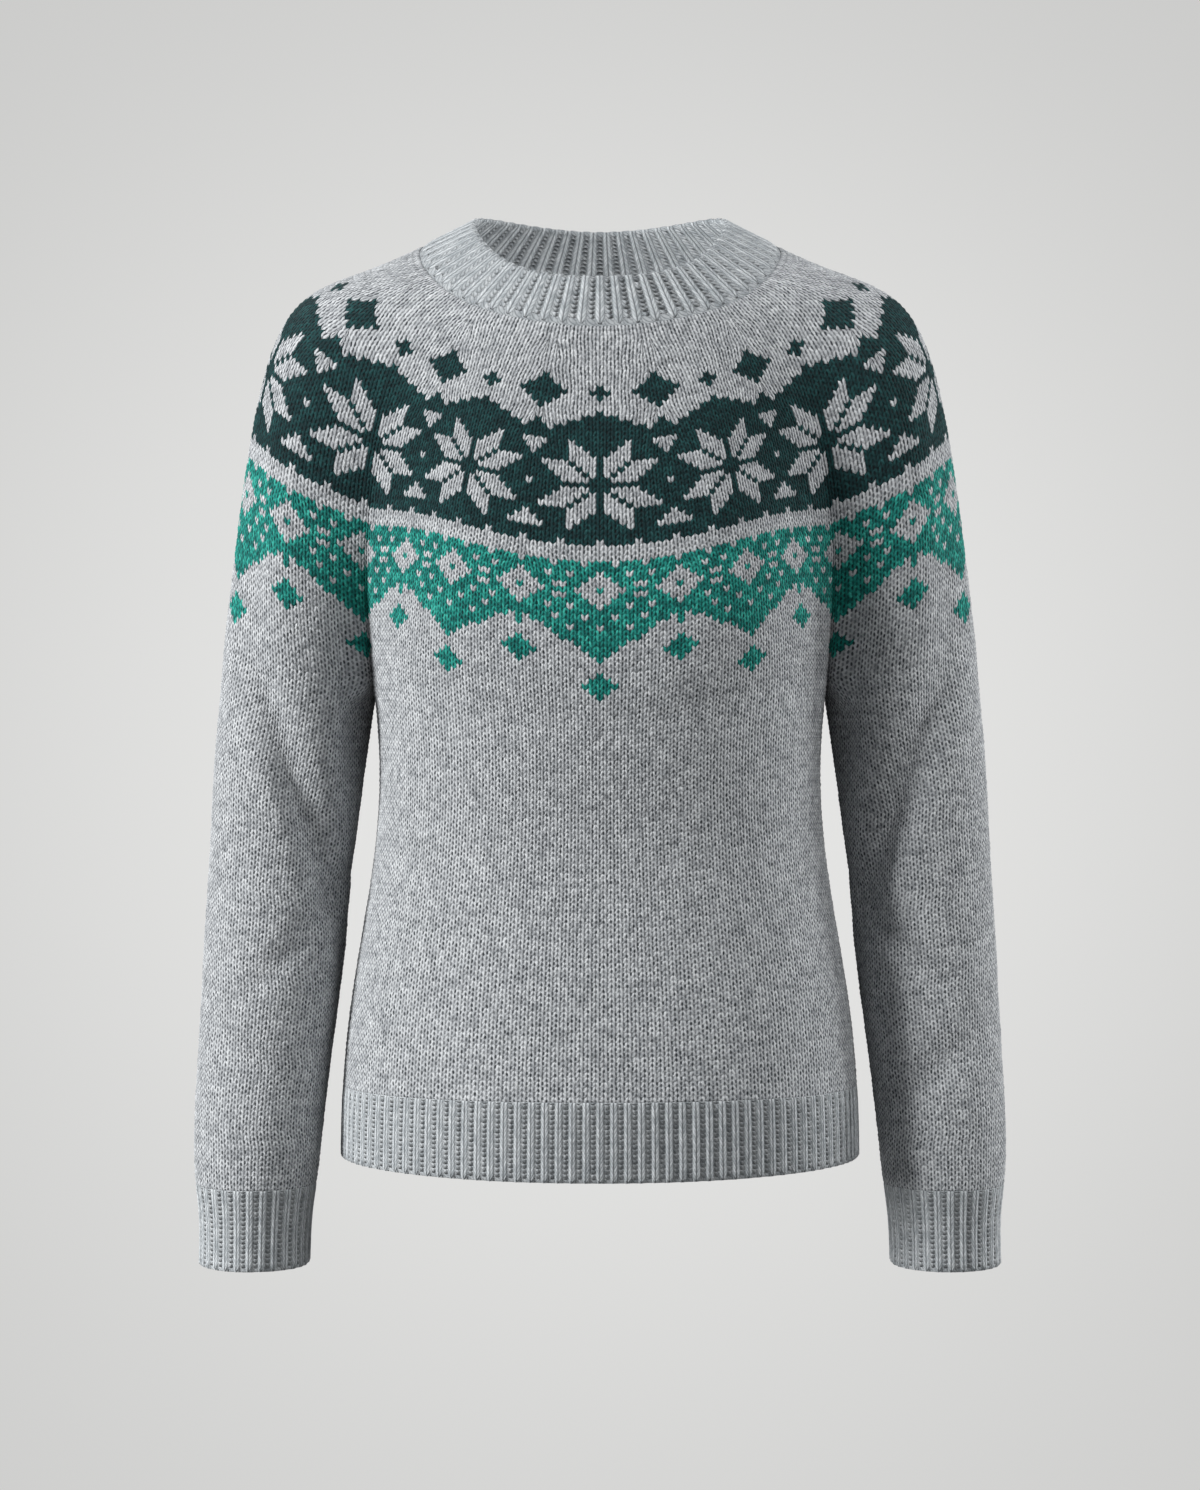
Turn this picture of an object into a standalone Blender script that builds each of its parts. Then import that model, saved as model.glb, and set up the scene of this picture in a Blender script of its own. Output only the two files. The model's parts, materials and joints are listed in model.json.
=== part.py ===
"""A nordic yoke sweater, filled out as if worn: eight knitted pieces in one rigid body.

Metres, +Z up. The front faces -Y and the wearer's left arm is at +X. The origin lies between
the shoulders, at the height where the yoke rests on them.

Every wall is a loft: a grid of outer points, ring by ring, and a grid of inner points behind
it. Rings run anticlockwise seen from above and are listed from the top down. Distances round a
piece are counted in wales, the knitted columns, so that the yoke, the body and the sleeves
share the same points along their seams.
"""

import math
from typing import NamedTuple

import bpy
import numpy as np

# Driving dimensions, in metres.
WALL = 0.003  # thickness of the knit
RIB_RISE = 0.0016  # how far a rib stands out of its band
SEAM_GAP = 0.0003
EDGE_ROUND = 0.0012  # how far the middle of a bound-off edge stands out
NECK_JOIN_REACH = 0.02  # share of the yoke over which its slope at the neck is taken

# Heights.
HEM_SEAM_Z = -0.5685
HEM_Z = -0.6220
HEM_SIDE_RISE = 0.0040  # the hem's edge is this much higher at the sides
CUFF_SEAM_Z = -0.6365
CUFF_Z = -0.6915
CUFF_DRAW_IN = 0.0140  # below its seam the cuff has drawn in to its own width
PIT_Z = -0.2850
FRONT_DIP = 0.0320  # the underarm round hangs this far lower at the middle of the front
BACK_DIP = 0.0190
ARM_RISE = 0.0225  # and is this far higher outside the arm

# Widths, counted in wales.
BODY_WALES = 188
GUSSET_WALES = 9  # the underarm stitches that join body and sleeve
FLAT_WALES = 5.5  # on each side of the gusset the underarm round stays level
SLEEVE_WALES = 67
HALF_GUSSET = GUSSET_WALES / 2
BODY_SIDE = BODY_WALES / 4  # the middle of the gusset, counted from the middle of the front
FRONT_PIT = BODY_SIDE - HALF_GUSSET
ARM_WALES = SLEEVE_WALES - GUSSET_WALES
BACK_PIT = FRONT_PIT + ARM_WALES
HALF_ROUND = BACK_PIT + FRONT_PIT  # wales from the middle of the front to that of the back
ARM_MIDDLE = HALF_ROUND / 2
PIT_X = 0.1570
PIT_PULL_WALES = 5.0  # how far round the pit body and sleeve lean together
PIT_PULL_DEPTH = 0.024  # and how far down

# Facets round each piece and along it.
FRONT_STEPS = 10
ARM_STEPS = 18
YOKE_ROWS = 14
BODY_ROWS = 10
SLEEVE_ROWS = 15
HEM_RIBS = 112
CUFF_RIBS = 28
NECK_RIBS = 58
NECK_ROWS = 2
RIB_SHAPE = (1.0, 0.0, 0.0)  # height of a rib's points: ridge, groove, groove
RIB_POINTS = len(RIB_SHAPE)

OVAL_POWER = 2.25  # 2 would be an ellipse, and more is squarer
OVAL_ASPECT = 1.3  # typical width over depth of the body's rings
MIRROR = np.array([-1.0, 1.0, 1.0])
SMOOTH_ANGLE = math.radians(50)


class BodySection(NamedTuple):
    z: float
    half_width: float
    front: float
    back: float


BODY_SECTIONS = (
    BodySection(z=-0.2600, half_width=0.1590, front=0.1285, back=0.1140),
    BodySection(z=-0.2940, half_width=0.1568, front=0.1270, back=0.1120),
    BodySection(z=-0.3360, half_width=0.1537, front=0.1235, back=0.1070),
    BodySection(z=-0.3850, half_width=0.1546, front=0.1185, back=0.1030),
    BodySection(z=-0.4410, half_width=0.1617, front=0.1190, back=0.1070),
    BodySection(z=-0.5110, half_width=0.1731, front=0.1235, back=0.1150),
    BodySection(z=-0.5775, half_width=0.1792, front=0.1270, back=0.1205),
    BodySection(z=-0.6225, half_width=0.1803, front=0.1275, back=0.1215),
)


class SleeveSection(NamedTuple):
    z: float
    centre_x: float
    centre_y: float
    half_width: float
    half_depth: float


SLEEVE_SECTIONS = (
    SleeveSection(z=-0.2600, centre_x=0.2085, centre_y=0.0020, half_width=0.0538, half_depth=0.0590),
    SleeveSection(z=-0.2940, centre_x=0.2112, centre_y=0.0025, half_width=0.0537, half_depth=0.0585),
    SleeveSection(z=-0.3360, centre_x=0.2160, centre_y=0.0035, half_width=0.0528, half_depth=0.0570),
    SleeveSection(z=-0.4060, centre_x=0.2225, centre_y=0.0040, half_width=0.0502, half_depth=0.0540),
    SleeveSection(z=-0.4760, centre_x=0.2279, centre_y=0.0010, half_width=0.0489, half_depth=0.0520),
    SleeveSection(z=-0.5460, centre_x=0.2337, centre_y=-0.0050, half_width=0.0461, half_depth=0.0490),
    SleeveSection(z=-0.6060, centre_x=0.2380, centre_y=-0.0120, half_width=0.0438, half_depth=0.0465),
    SleeveSection(z=-0.6365, centre_x=0.2388, centre_y=-0.0155, half_width=0.0413, half_depth=0.0436),
    SleeveSection(z=-0.6520, centre_x=0.2389, centre_y=-0.0170, half_width=0.0392, half_depth=0.0414),
    SleeveSection(z=-0.6915, centre_x=0.2392, centre_y=-0.0210, half_width=0.0381, half_depth=0.0402),
)


class Fold(NamedTuple):
    """A soft trough across a sleeve: where its middle lies, how it slants and how deep it is."""

    z: float
    turn: float  # share of the way round, from the underarm past the front
    slant: float  # rise in metres over a whole turn
    height: float
    spread: float  # share of the turn that it takes up
    depth: float


SLEEVE_FOLDS = (
    Fold(z=-0.356, turn=0.23, slant=0.48, height=0.018, spread=0.14, depth=0.0062),
    Fold(z=-0.350, turn=0.80, slant=-0.40, height=0.018, spread=0.14, depth=0.0050),
    Fold(z=-0.455, turn=0.14, slant=-0.30, height=0.015, spread=0.13, depth=0.0042),
    Fold(z=-0.475, turn=0.84, slant=0.26, height=0.016, spread=0.14, depth=0.0048),
    Fold(z=-0.550, turn=0.26, slant=0.20, height=0.015, spread=0.15, depth=0.0032),
)


class Station(NamedTuple):
    """One wale's course over the yoke: where it is, and the two handles that bend it."""

    wale: float
    neck_handle: tuple
    arm_handle: tuple


YOKE_STATIONS = (
    Station(0.0, neck_handle=(0.0, -0.1180, -0.1250), arm_handle=(0.0, -0.1400, -0.2250)),
    Station(21.0, neck_handle=(0.0800, -0.1100, -0.1080), arm_handle=(0.1020, -0.1290, -0.2150)),
    Station(FRONT_PIT, neck_handle=(0.1470, -0.0840, -0.0650), arm_handle=(0.1640, -0.0860, -0.1850)),
    Station(57.0, neck_handle=(0.1980, -0.0520, -0.0320), arm_handle=(0.2280, -0.0770, -0.0900)),
    Station(ARM_MIDDLE, neck_handle=(0.2260, 0.0030, -0.0250), arm_handle=(0.2310, 0.0030, 0.0100)),
    Station(86.0, neck_handle=(0.1980, 0.0560, -0.0180), arm_handle=(0.2280, 0.0820, -0.0800)),
    Station(BACK_PIT, neck_handle=(0.1400, 0.0920, -0.0420), arm_handle=(0.1640, 0.0960, -0.1750)),
    Station(122.0, neck_handle=(0.0760, 0.1130, -0.0650), arm_handle=(0.1020, 0.1180, -0.1900)),
    Station(HALF_ROUND, neck_handle=(0.0, 0.1190, -0.0600), arm_handle=(0.0, 0.1220, -0.1850)),
)


class NeckPoint(NamedTuple):
    """A place on the neckband, on its seam to the yoke and on its upper edge."""

    turn: float  # share of the way from the middle of the front to the middle of the back
    seam: tuple
    edge: tuple


NECK_POINTS = (
    NeckPoint(0.00, seam=(0.0, -0.1000, -0.0525), edge=(0.0, -0.0840, -0.0174)),
    NeckPoint(0.18, seam=(0.0570, -0.0920, -0.0455), edge=(0.0410, -0.0755, -0.0130)),
    NeckPoint(0.34, seam=(0.1010, -0.0650, -0.0260), edge=(0.0700, -0.0515, 0.0020)),
    NeckPoint(0.48, seam=(0.1240, -0.0230, 0.0020), edge=(0.0860, -0.0150, 0.0240)),
    NeckPoint(0.60, seam=(0.1240, 0.0240, 0.0205), edge=(0.0880, 0.0220, 0.0385)),
    NeckPoint(0.78, seam=(0.0850, 0.0710, 0.0200), edge=(0.0620, 0.0520, 0.0410)),
    NeckPoint(1.00, seam=(0.0, 0.0940, 0.0100), edge=(0.0, 0.0690, 0.0371)),
)


def natural_spline(knots, values, at):
    """A smooth curve through values, one row for each knot, read at several places."""
    knots, values, at = (np.asarray(x, float) for x in (knots, values, at))
    steps = np.diff(knots)
    slopes = np.diff(values, axis=0) / steps[:, None]
    system = np.eye(len(knots))
    right = np.zeros_like(values)
    for i in range(1, len(knots) - 1):
        system[i, i - 1 : i + 2] = steps[i - 1], 2 * (steps[i - 1] + steps[i]), steps[i]
        right[i] = 6 * (slopes[i] - slopes[i - 1])
    bends = np.linalg.solve(system, right)
    i = np.clip(np.searchsorted(knots, at) - 1, 0, len(steps) - 1)
    step, below, above = steps[i], at - knots[i], knots[i + 1] - at
    step, below, above = step[..., None], below[..., None], above[..., None]
    return (
        bends[i] * above**3 / (6 * step)
        + bends[i + 1] * below**3 / (6 * step)
        + (values[i] / step - bends[i] * step / 6) * above
        + (values[i + 1] / step - bends[i + 1] * step / 6) * below
    )


def mirrored_spline(knots, points, at):
    """The same for a half round whose other half mirrors it in X, so it crosses the middle squarely."""
    knots, points = np.asarray(knots, float), np.asarray(points, float)
    span = knots[-1]
    before, after = -knots[:0:-1], 2 * span - knots[-2::-1]
    whole = np.concatenate([before, knots, after])
    around = np.concatenate([points[:0:-1] * MIRROR, points, points[-2::-1] * MIRROR])
    return natural_spline(whole, around, at)


def section_at(sections, z):
    """The sizes of the section at each height, as a NamedTuple's columns of arrays."""
    rows = np.array(sections, float)[::-1]
    return natural_spline(rows[:, 0], rows[:, 1:], z)


def oval_point(angle):
    """A point of an oval one unit in radius, from the middle of the front towards +X."""
    side, along = np.sin(angle), -np.cos(angle)
    rounding = 2 / OVAL_POWER
    return (
        np.sign(side) * np.abs(side) ** rounding,
        np.sign(along) * np.abs(along) ** rounding,
    )


def shares_of(line):
    """The share of a line's length that lies before each of its points."""
    far = np.concatenate([[0], np.cumsum(np.linalg.norm(np.diff(line, axis=0), axis=1))])
    return far / far[-1]


def oval_shares(count=720):
    """A table from share of the way round the body's oval to angle."""
    angles = np.linspace(0, 2 * math.pi, count + 1)
    x, y = oval_point(angles)
    return shares_of(np.stack([x * OVAL_ASPECT, y], axis=1)), angles


OVAL_SHARES = oval_shares()


def near(distance, reach):
    """1 at a place, falling smoothly to 0 at the reach from it."""
    return 0.5 + 0.5 * np.cos(math.pi * np.clip(np.abs(distance) / reach, 0, 1))


def body_point(wale, z):
    """A point of the body's outer face, for a wale counted from the middle of the front."""
    wale, z = np.broadcast_arrays(np.asarray(wale, float), np.asarray(z, float))
    half_width, front, back = np.moveaxis(section_at(BODY_SECTIONS, z), -1, 0)
    angle = np.interp(wale / BODY_WALES % 1, *OVAL_SHARES)
    x, y = oval_point(angle)
    x, y = x * half_width, y * np.where(y < 0, front, back)
    off_side = np.abs(np.abs(wale % BODY_WALES - BODY_WALES / 2) - BODY_SIDE)
    pull = pit_pull(off_side, z)
    x = x + pull * (np.sign(x) * (PIT_X - SEAM_GAP / 2) - x)
    return np.stack([x, y, z], -1)


def pit_pull(off_side, z):
    """How far a point near the underarm leans to the line where body and sleeve are joined."""
    return near(np.maximum(off_side - HALF_GUSSET, 0), PIT_PULL_WALES) * near(PIT_Z - z, PIT_PULL_DEPTH)


def sleeve_point(wale, z):
    """A point of the left sleeve's outer face, for a wale counted from the underarm past the front."""
    wale, z = np.broadcast_arrays(np.asarray(wale, float), np.asarray(z, float))
    centre_x, centre_y, half_width, half_depth = np.moveaxis(section_at(SLEEVE_SECTIONS, z), -1, 0)
    turn = wale / SLEEVE_WALES % 1
    sunk = sum(
        fold.depth
        * np.exp(-(((z - fold.z - fold.slant * (turn - fold.turn)) / fold.height) ** 2))
        * np.exp(-(((turn - fold.turn + 0.5) % 1 - 0.5) / fold.spread) ** 2)
        for fold in SLEEVE_FOLDS
    )
    angle = 2 * math.pi * turn
    x = centre_x - (half_width - sunk) * np.cos(angle)
    y = centre_y - (half_depth - sunk) * np.sin(angle)
    off_side = np.minimum(wale % SLEEVE_WALES, -wale % SLEEVE_WALES)
    pull = pit_pull(off_side, z)
    x = x + pull * (PIT_X + SEAM_GAP / 2 - x)
    return np.stack([x, y, z], -1)


def body_top(wale):
    """The height of the body's upper seam."""
    from_front = np.abs((np.asarray(wale) + BODY_WALES / 2) % BODY_WALES - BODY_WALES / 2)
    reach = FRONT_PIT - FLAT_WALES
    from_back = BODY_WALES / 2 - from_front
    return PIT_Z - FRONT_DIP * near(from_front, reach) - BACK_DIP * near(from_back, reach)


def sleeve_top(wale):
    """The height of the sleeve's upper seam."""
    from_outside = np.asarray(wale) % SLEEVE_WALES - SLEEVE_WALES / 2
    reach = SLEEVE_WALES / 2 - HALF_GUSSET - FLAT_WALES
    return PIT_Z + ARM_RISE * near(from_outside, reach)


def underarm_round(wale):
    """The round where the yoke ends, over half the sweater: front, sleeve, back."""
    wale = np.asarray(wale, float)
    on_back = wale >= BACK_PIT
    body_wale = np.where(on_back, wale - ARM_WALES + GUSSET_WALES, wale)
    on_body = body_point(body_wale, body_top(body_wale))
    sleeve_wale = wale - FRONT_PIT + HALF_GUSSET
    on_sleeve = sleeve_point(sleeve_wale, sleeve_top(sleeve_wale))
    on_arm = (wale > FRONT_PIT) & (wale < BACK_PIT)
    found = np.where(on_arm[..., None], on_sleeve, on_body)
    at_pit = (wale == FRONT_PIT) | (wale == BACK_PIT)
    found[at_pit, 0] = PIT_X
    return found


def neck_line(points, share, count=400):
    """Points at those shares of the distance along a half round of the neckband."""
    knots = [p.turn for p in NECK_POINTS]
    turns = np.linspace(0, 1, count + 1)
    even = np.interp(share, shares_of(mirrored_spline(knots, points, turns)), turns)
    return mirrored_spline(knots, points, even)


def neck_seam(share):
    return neck_line([p.seam for p in NECK_POINTS], share)


def neck_edge(share):
    return neck_line([p.edge for p in NECK_POINTS], share)


def yoke_points(wales, rows, count=100):
    """The yoke's outer face over half the sweater: rows at even distances down each wale."""
    wales = np.asarray(wales, float)
    knots = [s.wale for s in YOKE_STATIONS]
    neck_handle = mirrored_spline(knots, [s.neck_handle for s in YOKE_STATIONS], wales)
    arm_handle = mirrored_spline(knots, [s.arm_handle for s in YOKE_STATIONS], wales)
    seam, end = neck_seam(wales / HALF_ROUND), underarm_round(wales)
    t = np.linspace(0, 1, count + 1)[:, None, None]
    lines = (
        (1 - t) ** 3 * seam
        + 3 * (1 - t) ** 2 * t * neck_handle
        + 3 * (1 - t) * t**2 * arm_handle
        + t**3 * end
    )
    found = np.empty((len(rows), len(wales), 3))
    for j in range(len(wales)):
        line = lines[:, j]
        shares = shares_of(line)
        for axis in range(3):
            found[:, j, axis] = np.interp(rows, shares, line[:, axis])
    return found


def both_halves(half):
    """A whole round from its +X half, whose first and last columns lie on the middle."""
    other = half[:, -2:0:-1] * MIRROR
    return np.concatenate([half, other], axis=1)


def outward(rings):
    """Unit normals of a grid of closed rings."""
    round_it = np.roll(rings, -1, axis=1) - np.roll(rings, 1, axis=1)
    down = np.gradient(rings, axis=0)
    normal = np.cross(down, round_it)
    return normal / np.linalg.norm(normal, axis=-1, keepdims=True)


def level(normals):
    """The same normals laid flat, as two pieces share them along a seam."""
    flat = normals * np.array([1.0, 1.0, 0.0])
    return flat / np.linalg.norm(flat, axis=-1, keepdims=True)


def neck_join(wales):
    """The neck seam over half the sweater, with the way down across it and the way out of it."""
    share = np.asarray(wales, float) / HALF_ROUND
    above, seam = neck_edge(share), neck_seam(share)
    below = yoke_points(wales, [0.0, NECK_JOIN_REACH])[1]
    rings = both_halves(np.stack([above, seam, below]))
    down = rings[2] - rings[0]
    down /= np.linalg.norm(down, axis=-1, keepdims=True)
    return rings[1], down, outward(rings)[1]


def around_wales():
    """Wales from the middle of the front to that of the back, with a facet edge at each pit."""
    front = np.linspace(0, FRONT_PIT, FRONT_STEPS + 1)
    arm = np.linspace(FRONT_PIT, BACK_PIT, ARM_STEPS + 1)
    back = np.linspace(BACK_PIT, HALF_ROUND, FRONT_STEPS + 1)
    return np.concatenate([front, arm[1:-1], back])


def shaped_object(name, rings, material, folder):
    """A closed wall from rings that run out of one edge, round it, and back to the start."""
    count, width = rings.shape[:2]
    number = np.arange(count * width).reshape(count, width)
    faces = []
    for row in range(count):
        upper, lower = number[row], number[(row + 1) % count]
        for a in range(width):
            b = (a + 1) % width
            faces.append((upper[a], lower[a], lower[b], upper[b]))
    mesh = bpy.data.meshes.new(name)
    mesh.from_pydata(rings.reshape(-1, 3).tolist(), [], [tuple(map(int, f)) for f in faces])
    mesh.validate()
    mesh.shade_smooth()
    mesh.set_sharp_from_angle(angle=SMOOTH_ANGLE)
    mesh.materials.append(material)
    made = bpy.data.objects.new(name, mesh)
    folder.objects.link(made)
    return made


def wall(name, outer, inner, material, folder):
    """A closed wall between an outer and an inner grid of rings."""
    return shaped_object(name, np.concatenate([outer, inner[::-1]]), material, folder)


def knit(name, colour, roughness=0.95):
    material = bpy.data.materials.new(name)
    material.use_nodes = True
    shader = material.node_tree.nodes["Principled BSDF"]
    shader.inputs["Base Color"].default_value = (*colour, 1)
    shader.inputs["Roughness"].default_value = roughness
    shader.inputs["Metallic"].default_value = 0.0
    material.diffuse_color = (*colour, 1)
    return material


def rib_heights(ribs):
    return np.tile(RIB_SHAPE, ribs)[:, None] * RIB_RISE


def make_yoke(material, folder):
    wales = around_wales()
    outer = both_halves(yoke_points(wales, np.linspace(0, 1, YOKE_ROWS + 1)))
    normals = outward(outer)
    _, down, normals[0] = neck_join(wales)
    normals[-1] = level(normals[-1])
    outer[0] += down * SEAM_GAP / 2
    outer[-1, :, 2] += SEAM_GAP / 2
    return wall("yoke", outer, outer - WALL * normals, material, folder)


def make_neckband(material, folder):
    wales = np.linspace(0, HALF_ROUND, NECK_RIBS * RIB_POINTS // 2 + 1)
    seam, down, out = neck_join(wales)
    edge = both_halves(neck_edge(wales / HALF_ROUND)[None])[0]
    rows = np.linspace(0, 1, NECK_ROWS + 1)[:, None, None]
    plain = edge * (1 - rows) + (seam - down * SEAM_GAP / 2) * rows
    normals = outward(plain)
    normals[-1] = out
    outer = plain + normals * rib_heights(NECK_RIBS)
    outer[-1] = plain[-1]
    inner = plain - WALL * normals
    up = plain[0] - plain[1]
    up /= np.linalg.norm(up, axis=-1, keepdims=True)
    rounded = (outer[0] + inner[0]) / 2 + up * EDGE_ROUND
    rings = np.concatenate([outer, inner[::-1], rounded[None]])
    return shaped_object("neckband", rings, material, folder)


def make_body(material, folder):
    front = np.linspace(0, FRONT_PIT, FRONT_STEPS + 1)
    back = BODY_WALES / 2 - front[::-1]
    wales = np.concatenate([front, [BODY_SIDE], back])
    share = np.linspace(0, 1, BODY_ROWS + 1)[:, None]
    top = body_top(wales) - SEAM_GAP / 2
    z = top * (1 - share) + (HEM_SEAM_Z + SEAM_GAP / 2) * share
    outer = both_halves(body_point(wales, z))
    inner = outer - WALL * level(outward(outer))
    return wall("body", outer, inner, material, folder)


def mirror_x(rings, side):
    """The left sleeve's rings as they are, or the right one's from them, still anticlockwise."""
    return rings if side > 0 else rings[:, ::-1] * MIRROR


def make_sleeve(name, side, material, folder):
    arm = np.linspace(HALF_GUSSET, SLEEVE_WALES - HALF_GUSSET, ARM_STEPS + 1)
    wales = np.concatenate([[0], arm])
    share = np.linspace(0, 1, SLEEVE_ROWS + 1)[:, None]
    top = sleeve_top(wales) - SEAM_GAP / 2
    z = top * (1 - share) + (CUFF_SEAM_Z + SEAM_GAP / 2) * share
    outer = sleeve_point(wales, z)
    inner = outer - WALL * level(outward(outer))
    return wall(name, mirror_x(outer, side), mirror_x(inner, side), material, folder)


def ribbed_tube(name, plain, ribs, side, material, folder):
    """A band of upright ribs over a plain inside, with its lower edge bound off round."""
    away = level(outward(plain))
    outer = plain + away * (rib_heights(ribs) - RIB_RISE / 2)
    inner = plain[[0, -1]] - WALL * away[[0, -1]]
    edge = (outer[-1] + inner[-1]) / 2 - np.array([0, 0, EDGE_ROUND])
    rings = np.concatenate([outer, edge[None], inner[::-1]])
    return shaped_object(name, mirror_x(rings, side), material, folder)


def make_hem(material, folder):
    wales = np.arange(HEM_RIBS * RIB_POINTS) / (HEM_RIBS * RIB_POINTS) * BODY_WALES
    off_side = np.abs(wales % (BODY_WALES / 2) - BODY_SIDE)
    edge = HEM_Z + EDGE_ROUND + HEM_SIDE_RISE * near(off_side, BODY_SIDE)
    z = np.stack([np.full_like(edge, HEM_SEAM_Z - SEAM_GAP / 2), edge])
    return ribbed_tube("hem_rib", body_point(wales, z), HEM_RIBS, 1, material, folder)


def make_cuff(name, side, material, folder):
    wales = np.arange(CUFF_RIBS * RIB_POINTS) / (CUFF_RIBS * RIB_POINTS) * SLEEVE_WALES
    drawn_in = CUFF_SEAM_Z - CUFF_DRAW_IN
    z = np.array([CUFF_SEAM_Z - SEAM_GAP / 2, drawn_in, CUFF_Z + EDGE_ROUND])
    return ribbed_tube(name, sleeve_point(wales, z[:, None]), CUFF_RIBS, side, material, folder)


def main():
    for old in list(bpy.data.objects):
        bpy.data.objects.remove(old)
    folder = bpy.data.collections.new("nordic_yoke_sweater")
    bpy.context.scene.collection.children.link(folder)
    grey = knit("grey_heather", (0.36, 0.38, 0.40))
    pattern = knit("yoke_colourwork", (0.03, 0.14, 0.13))
    rib = knit("grey_rib", (0.33, 0.36, 0.38))
    make_yoke(pattern, folder)
    make_body(grey, folder)
    make_sleeve("sleeve_left", 1, grey, folder)
    make_sleeve("sleeve_right", -1, grey, folder)
    make_hem(rib, folder)
    make_cuff("cuff_left", 1, rib, folder)
    make_cuff("cuff_right", -1, rib, folder)
    make_neckband(rib, folder)


if __name__ == "__main__":
    main()
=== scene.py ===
# %% [markdown]
# # A nordic yoke sweater, knitted in Geometry Nodes
# A round-yoke sweater is a set of knitted tubes: a body, two sleeves and a patterned yoke that
# joins them, with ribbed bands at the neck, the hem and the cuffs. This file builds it the same
# way. First the smooth form of every tube is worked out from a few sizes. Then one stitch is
# modelled, a chart says where each stitch goes and of which yarn, and a Geometry Nodes tree lays
# the stitches over the form, row by row, as needles would.

# %% The frame, and the tools
import json
import math
from typing import NamedTuple

import bpy
import numpy as np
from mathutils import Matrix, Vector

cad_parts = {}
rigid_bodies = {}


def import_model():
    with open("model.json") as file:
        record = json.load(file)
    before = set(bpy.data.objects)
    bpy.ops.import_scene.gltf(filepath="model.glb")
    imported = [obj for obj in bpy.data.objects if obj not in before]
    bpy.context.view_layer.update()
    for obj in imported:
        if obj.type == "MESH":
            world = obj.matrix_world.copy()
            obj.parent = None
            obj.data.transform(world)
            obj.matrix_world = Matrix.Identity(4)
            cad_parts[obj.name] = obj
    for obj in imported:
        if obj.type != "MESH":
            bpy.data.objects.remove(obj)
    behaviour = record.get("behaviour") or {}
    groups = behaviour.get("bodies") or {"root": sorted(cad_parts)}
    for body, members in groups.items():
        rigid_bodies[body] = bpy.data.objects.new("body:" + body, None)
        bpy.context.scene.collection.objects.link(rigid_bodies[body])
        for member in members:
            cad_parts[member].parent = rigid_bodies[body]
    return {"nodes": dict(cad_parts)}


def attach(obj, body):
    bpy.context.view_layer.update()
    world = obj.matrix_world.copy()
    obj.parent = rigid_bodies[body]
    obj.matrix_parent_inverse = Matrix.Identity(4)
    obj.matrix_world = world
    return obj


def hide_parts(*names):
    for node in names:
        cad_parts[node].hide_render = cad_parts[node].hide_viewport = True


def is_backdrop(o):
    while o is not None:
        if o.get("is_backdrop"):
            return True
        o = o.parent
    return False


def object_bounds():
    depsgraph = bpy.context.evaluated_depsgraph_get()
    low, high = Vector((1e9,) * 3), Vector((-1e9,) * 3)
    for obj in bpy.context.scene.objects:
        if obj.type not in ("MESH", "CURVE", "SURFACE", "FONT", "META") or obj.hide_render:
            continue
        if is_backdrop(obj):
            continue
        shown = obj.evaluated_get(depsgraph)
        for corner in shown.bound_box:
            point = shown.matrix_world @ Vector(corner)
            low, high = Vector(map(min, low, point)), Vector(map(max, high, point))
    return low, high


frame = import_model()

cad_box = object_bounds()
print("nodes to dress:", sorted(frame["nodes"]))

# %% [markdown]
# ## The form
# Knitters count everything in stitches: a wale is one column of stitches and a course is one
# row. The body takes 188 wales, each sleeve 67, and nine of each are joined under the arm, so
# 286 wales are left on the needle for the yoke. Every size below is in metres, and every
# distance round a tube is counted in wales from the middle of the front, or from the underarm.

# %% Sizes of the garment
MM = 0.001
WALL = 3 * MM
SEAM_GAP = 0.3 * MM
HEM_SEAM_Z = -0.5685
HEM_Z = -0.6220
HEM_SIDE_RISE = 4 * MM  # how much shorter the hem is at the sides
CUFF_SEAM_Z = -0.6365
CUFF_Z = -0.6915
PIT_Z = -0.2850
FRONT_DIP = 32 * MM  # how far the yoke reaches down in front, from the height of the underarm
BACK_DIP = 19 * MM
ARM_RISE = 22.5 * MM  # and how far up its edge lies over the middle of the arm

BODY_WALES = 188
GUSSET_WALES = 9  # joined under each arm
FLAT_WALES = 5.5  # beside them, the yoke's edge stays level for so long
SLEEVE_WALES = 67
HALF_GUSSET = GUSSET_WALES / 2
BODY_SIDE = BODY_WALES / 4
FRONT_PIT = BODY_SIDE - HALF_GUSSET
ARM_WALES = SLEEVE_WALES - GUSSET_WALES
BACK_PIT = FRONT_PIT + ARM_WALES
HALF_ROUND = BACK_PIT + FRONT_PIT
YOKE_WALES = int(2 * HALF_ROUND)
BODY_COURSES = 77
SLEEVE_COURSES = 104
YOKE_COURSES = 76
NECK_BAND_COURSES = 11

PIT_X = 0.1570
PIT_PULL_WALES = 5.0  # how far round and how far down the underarm draws the cloth to itself
PIT_PULL_DEPTH = 24 * MM
OVAL_POWER = 2.25  # of the body's superellipse, where 2 is an ellipse
OVAL_ASPECT = 1.3  # its width over its depth
MIRROR = np.array([-1.0, 1.0, 1.0])
print("wales round body, sleeve, yoke:", BODY_WALES, SLEEVE_WALES, YOKE_WALES)


# %% [markdown]
# A garment's tube is described best by a few cross-sections with smooth curves through them.
# Each table has one row for a section, with its height first. A natural spline reads the rows in
# between, so eight rows give the whole side line of the body, waist included.

# %% Sections of the body
class BodySection(NamedTuple):
    z: float
    half_width: float
    front: float
    back: float


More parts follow.
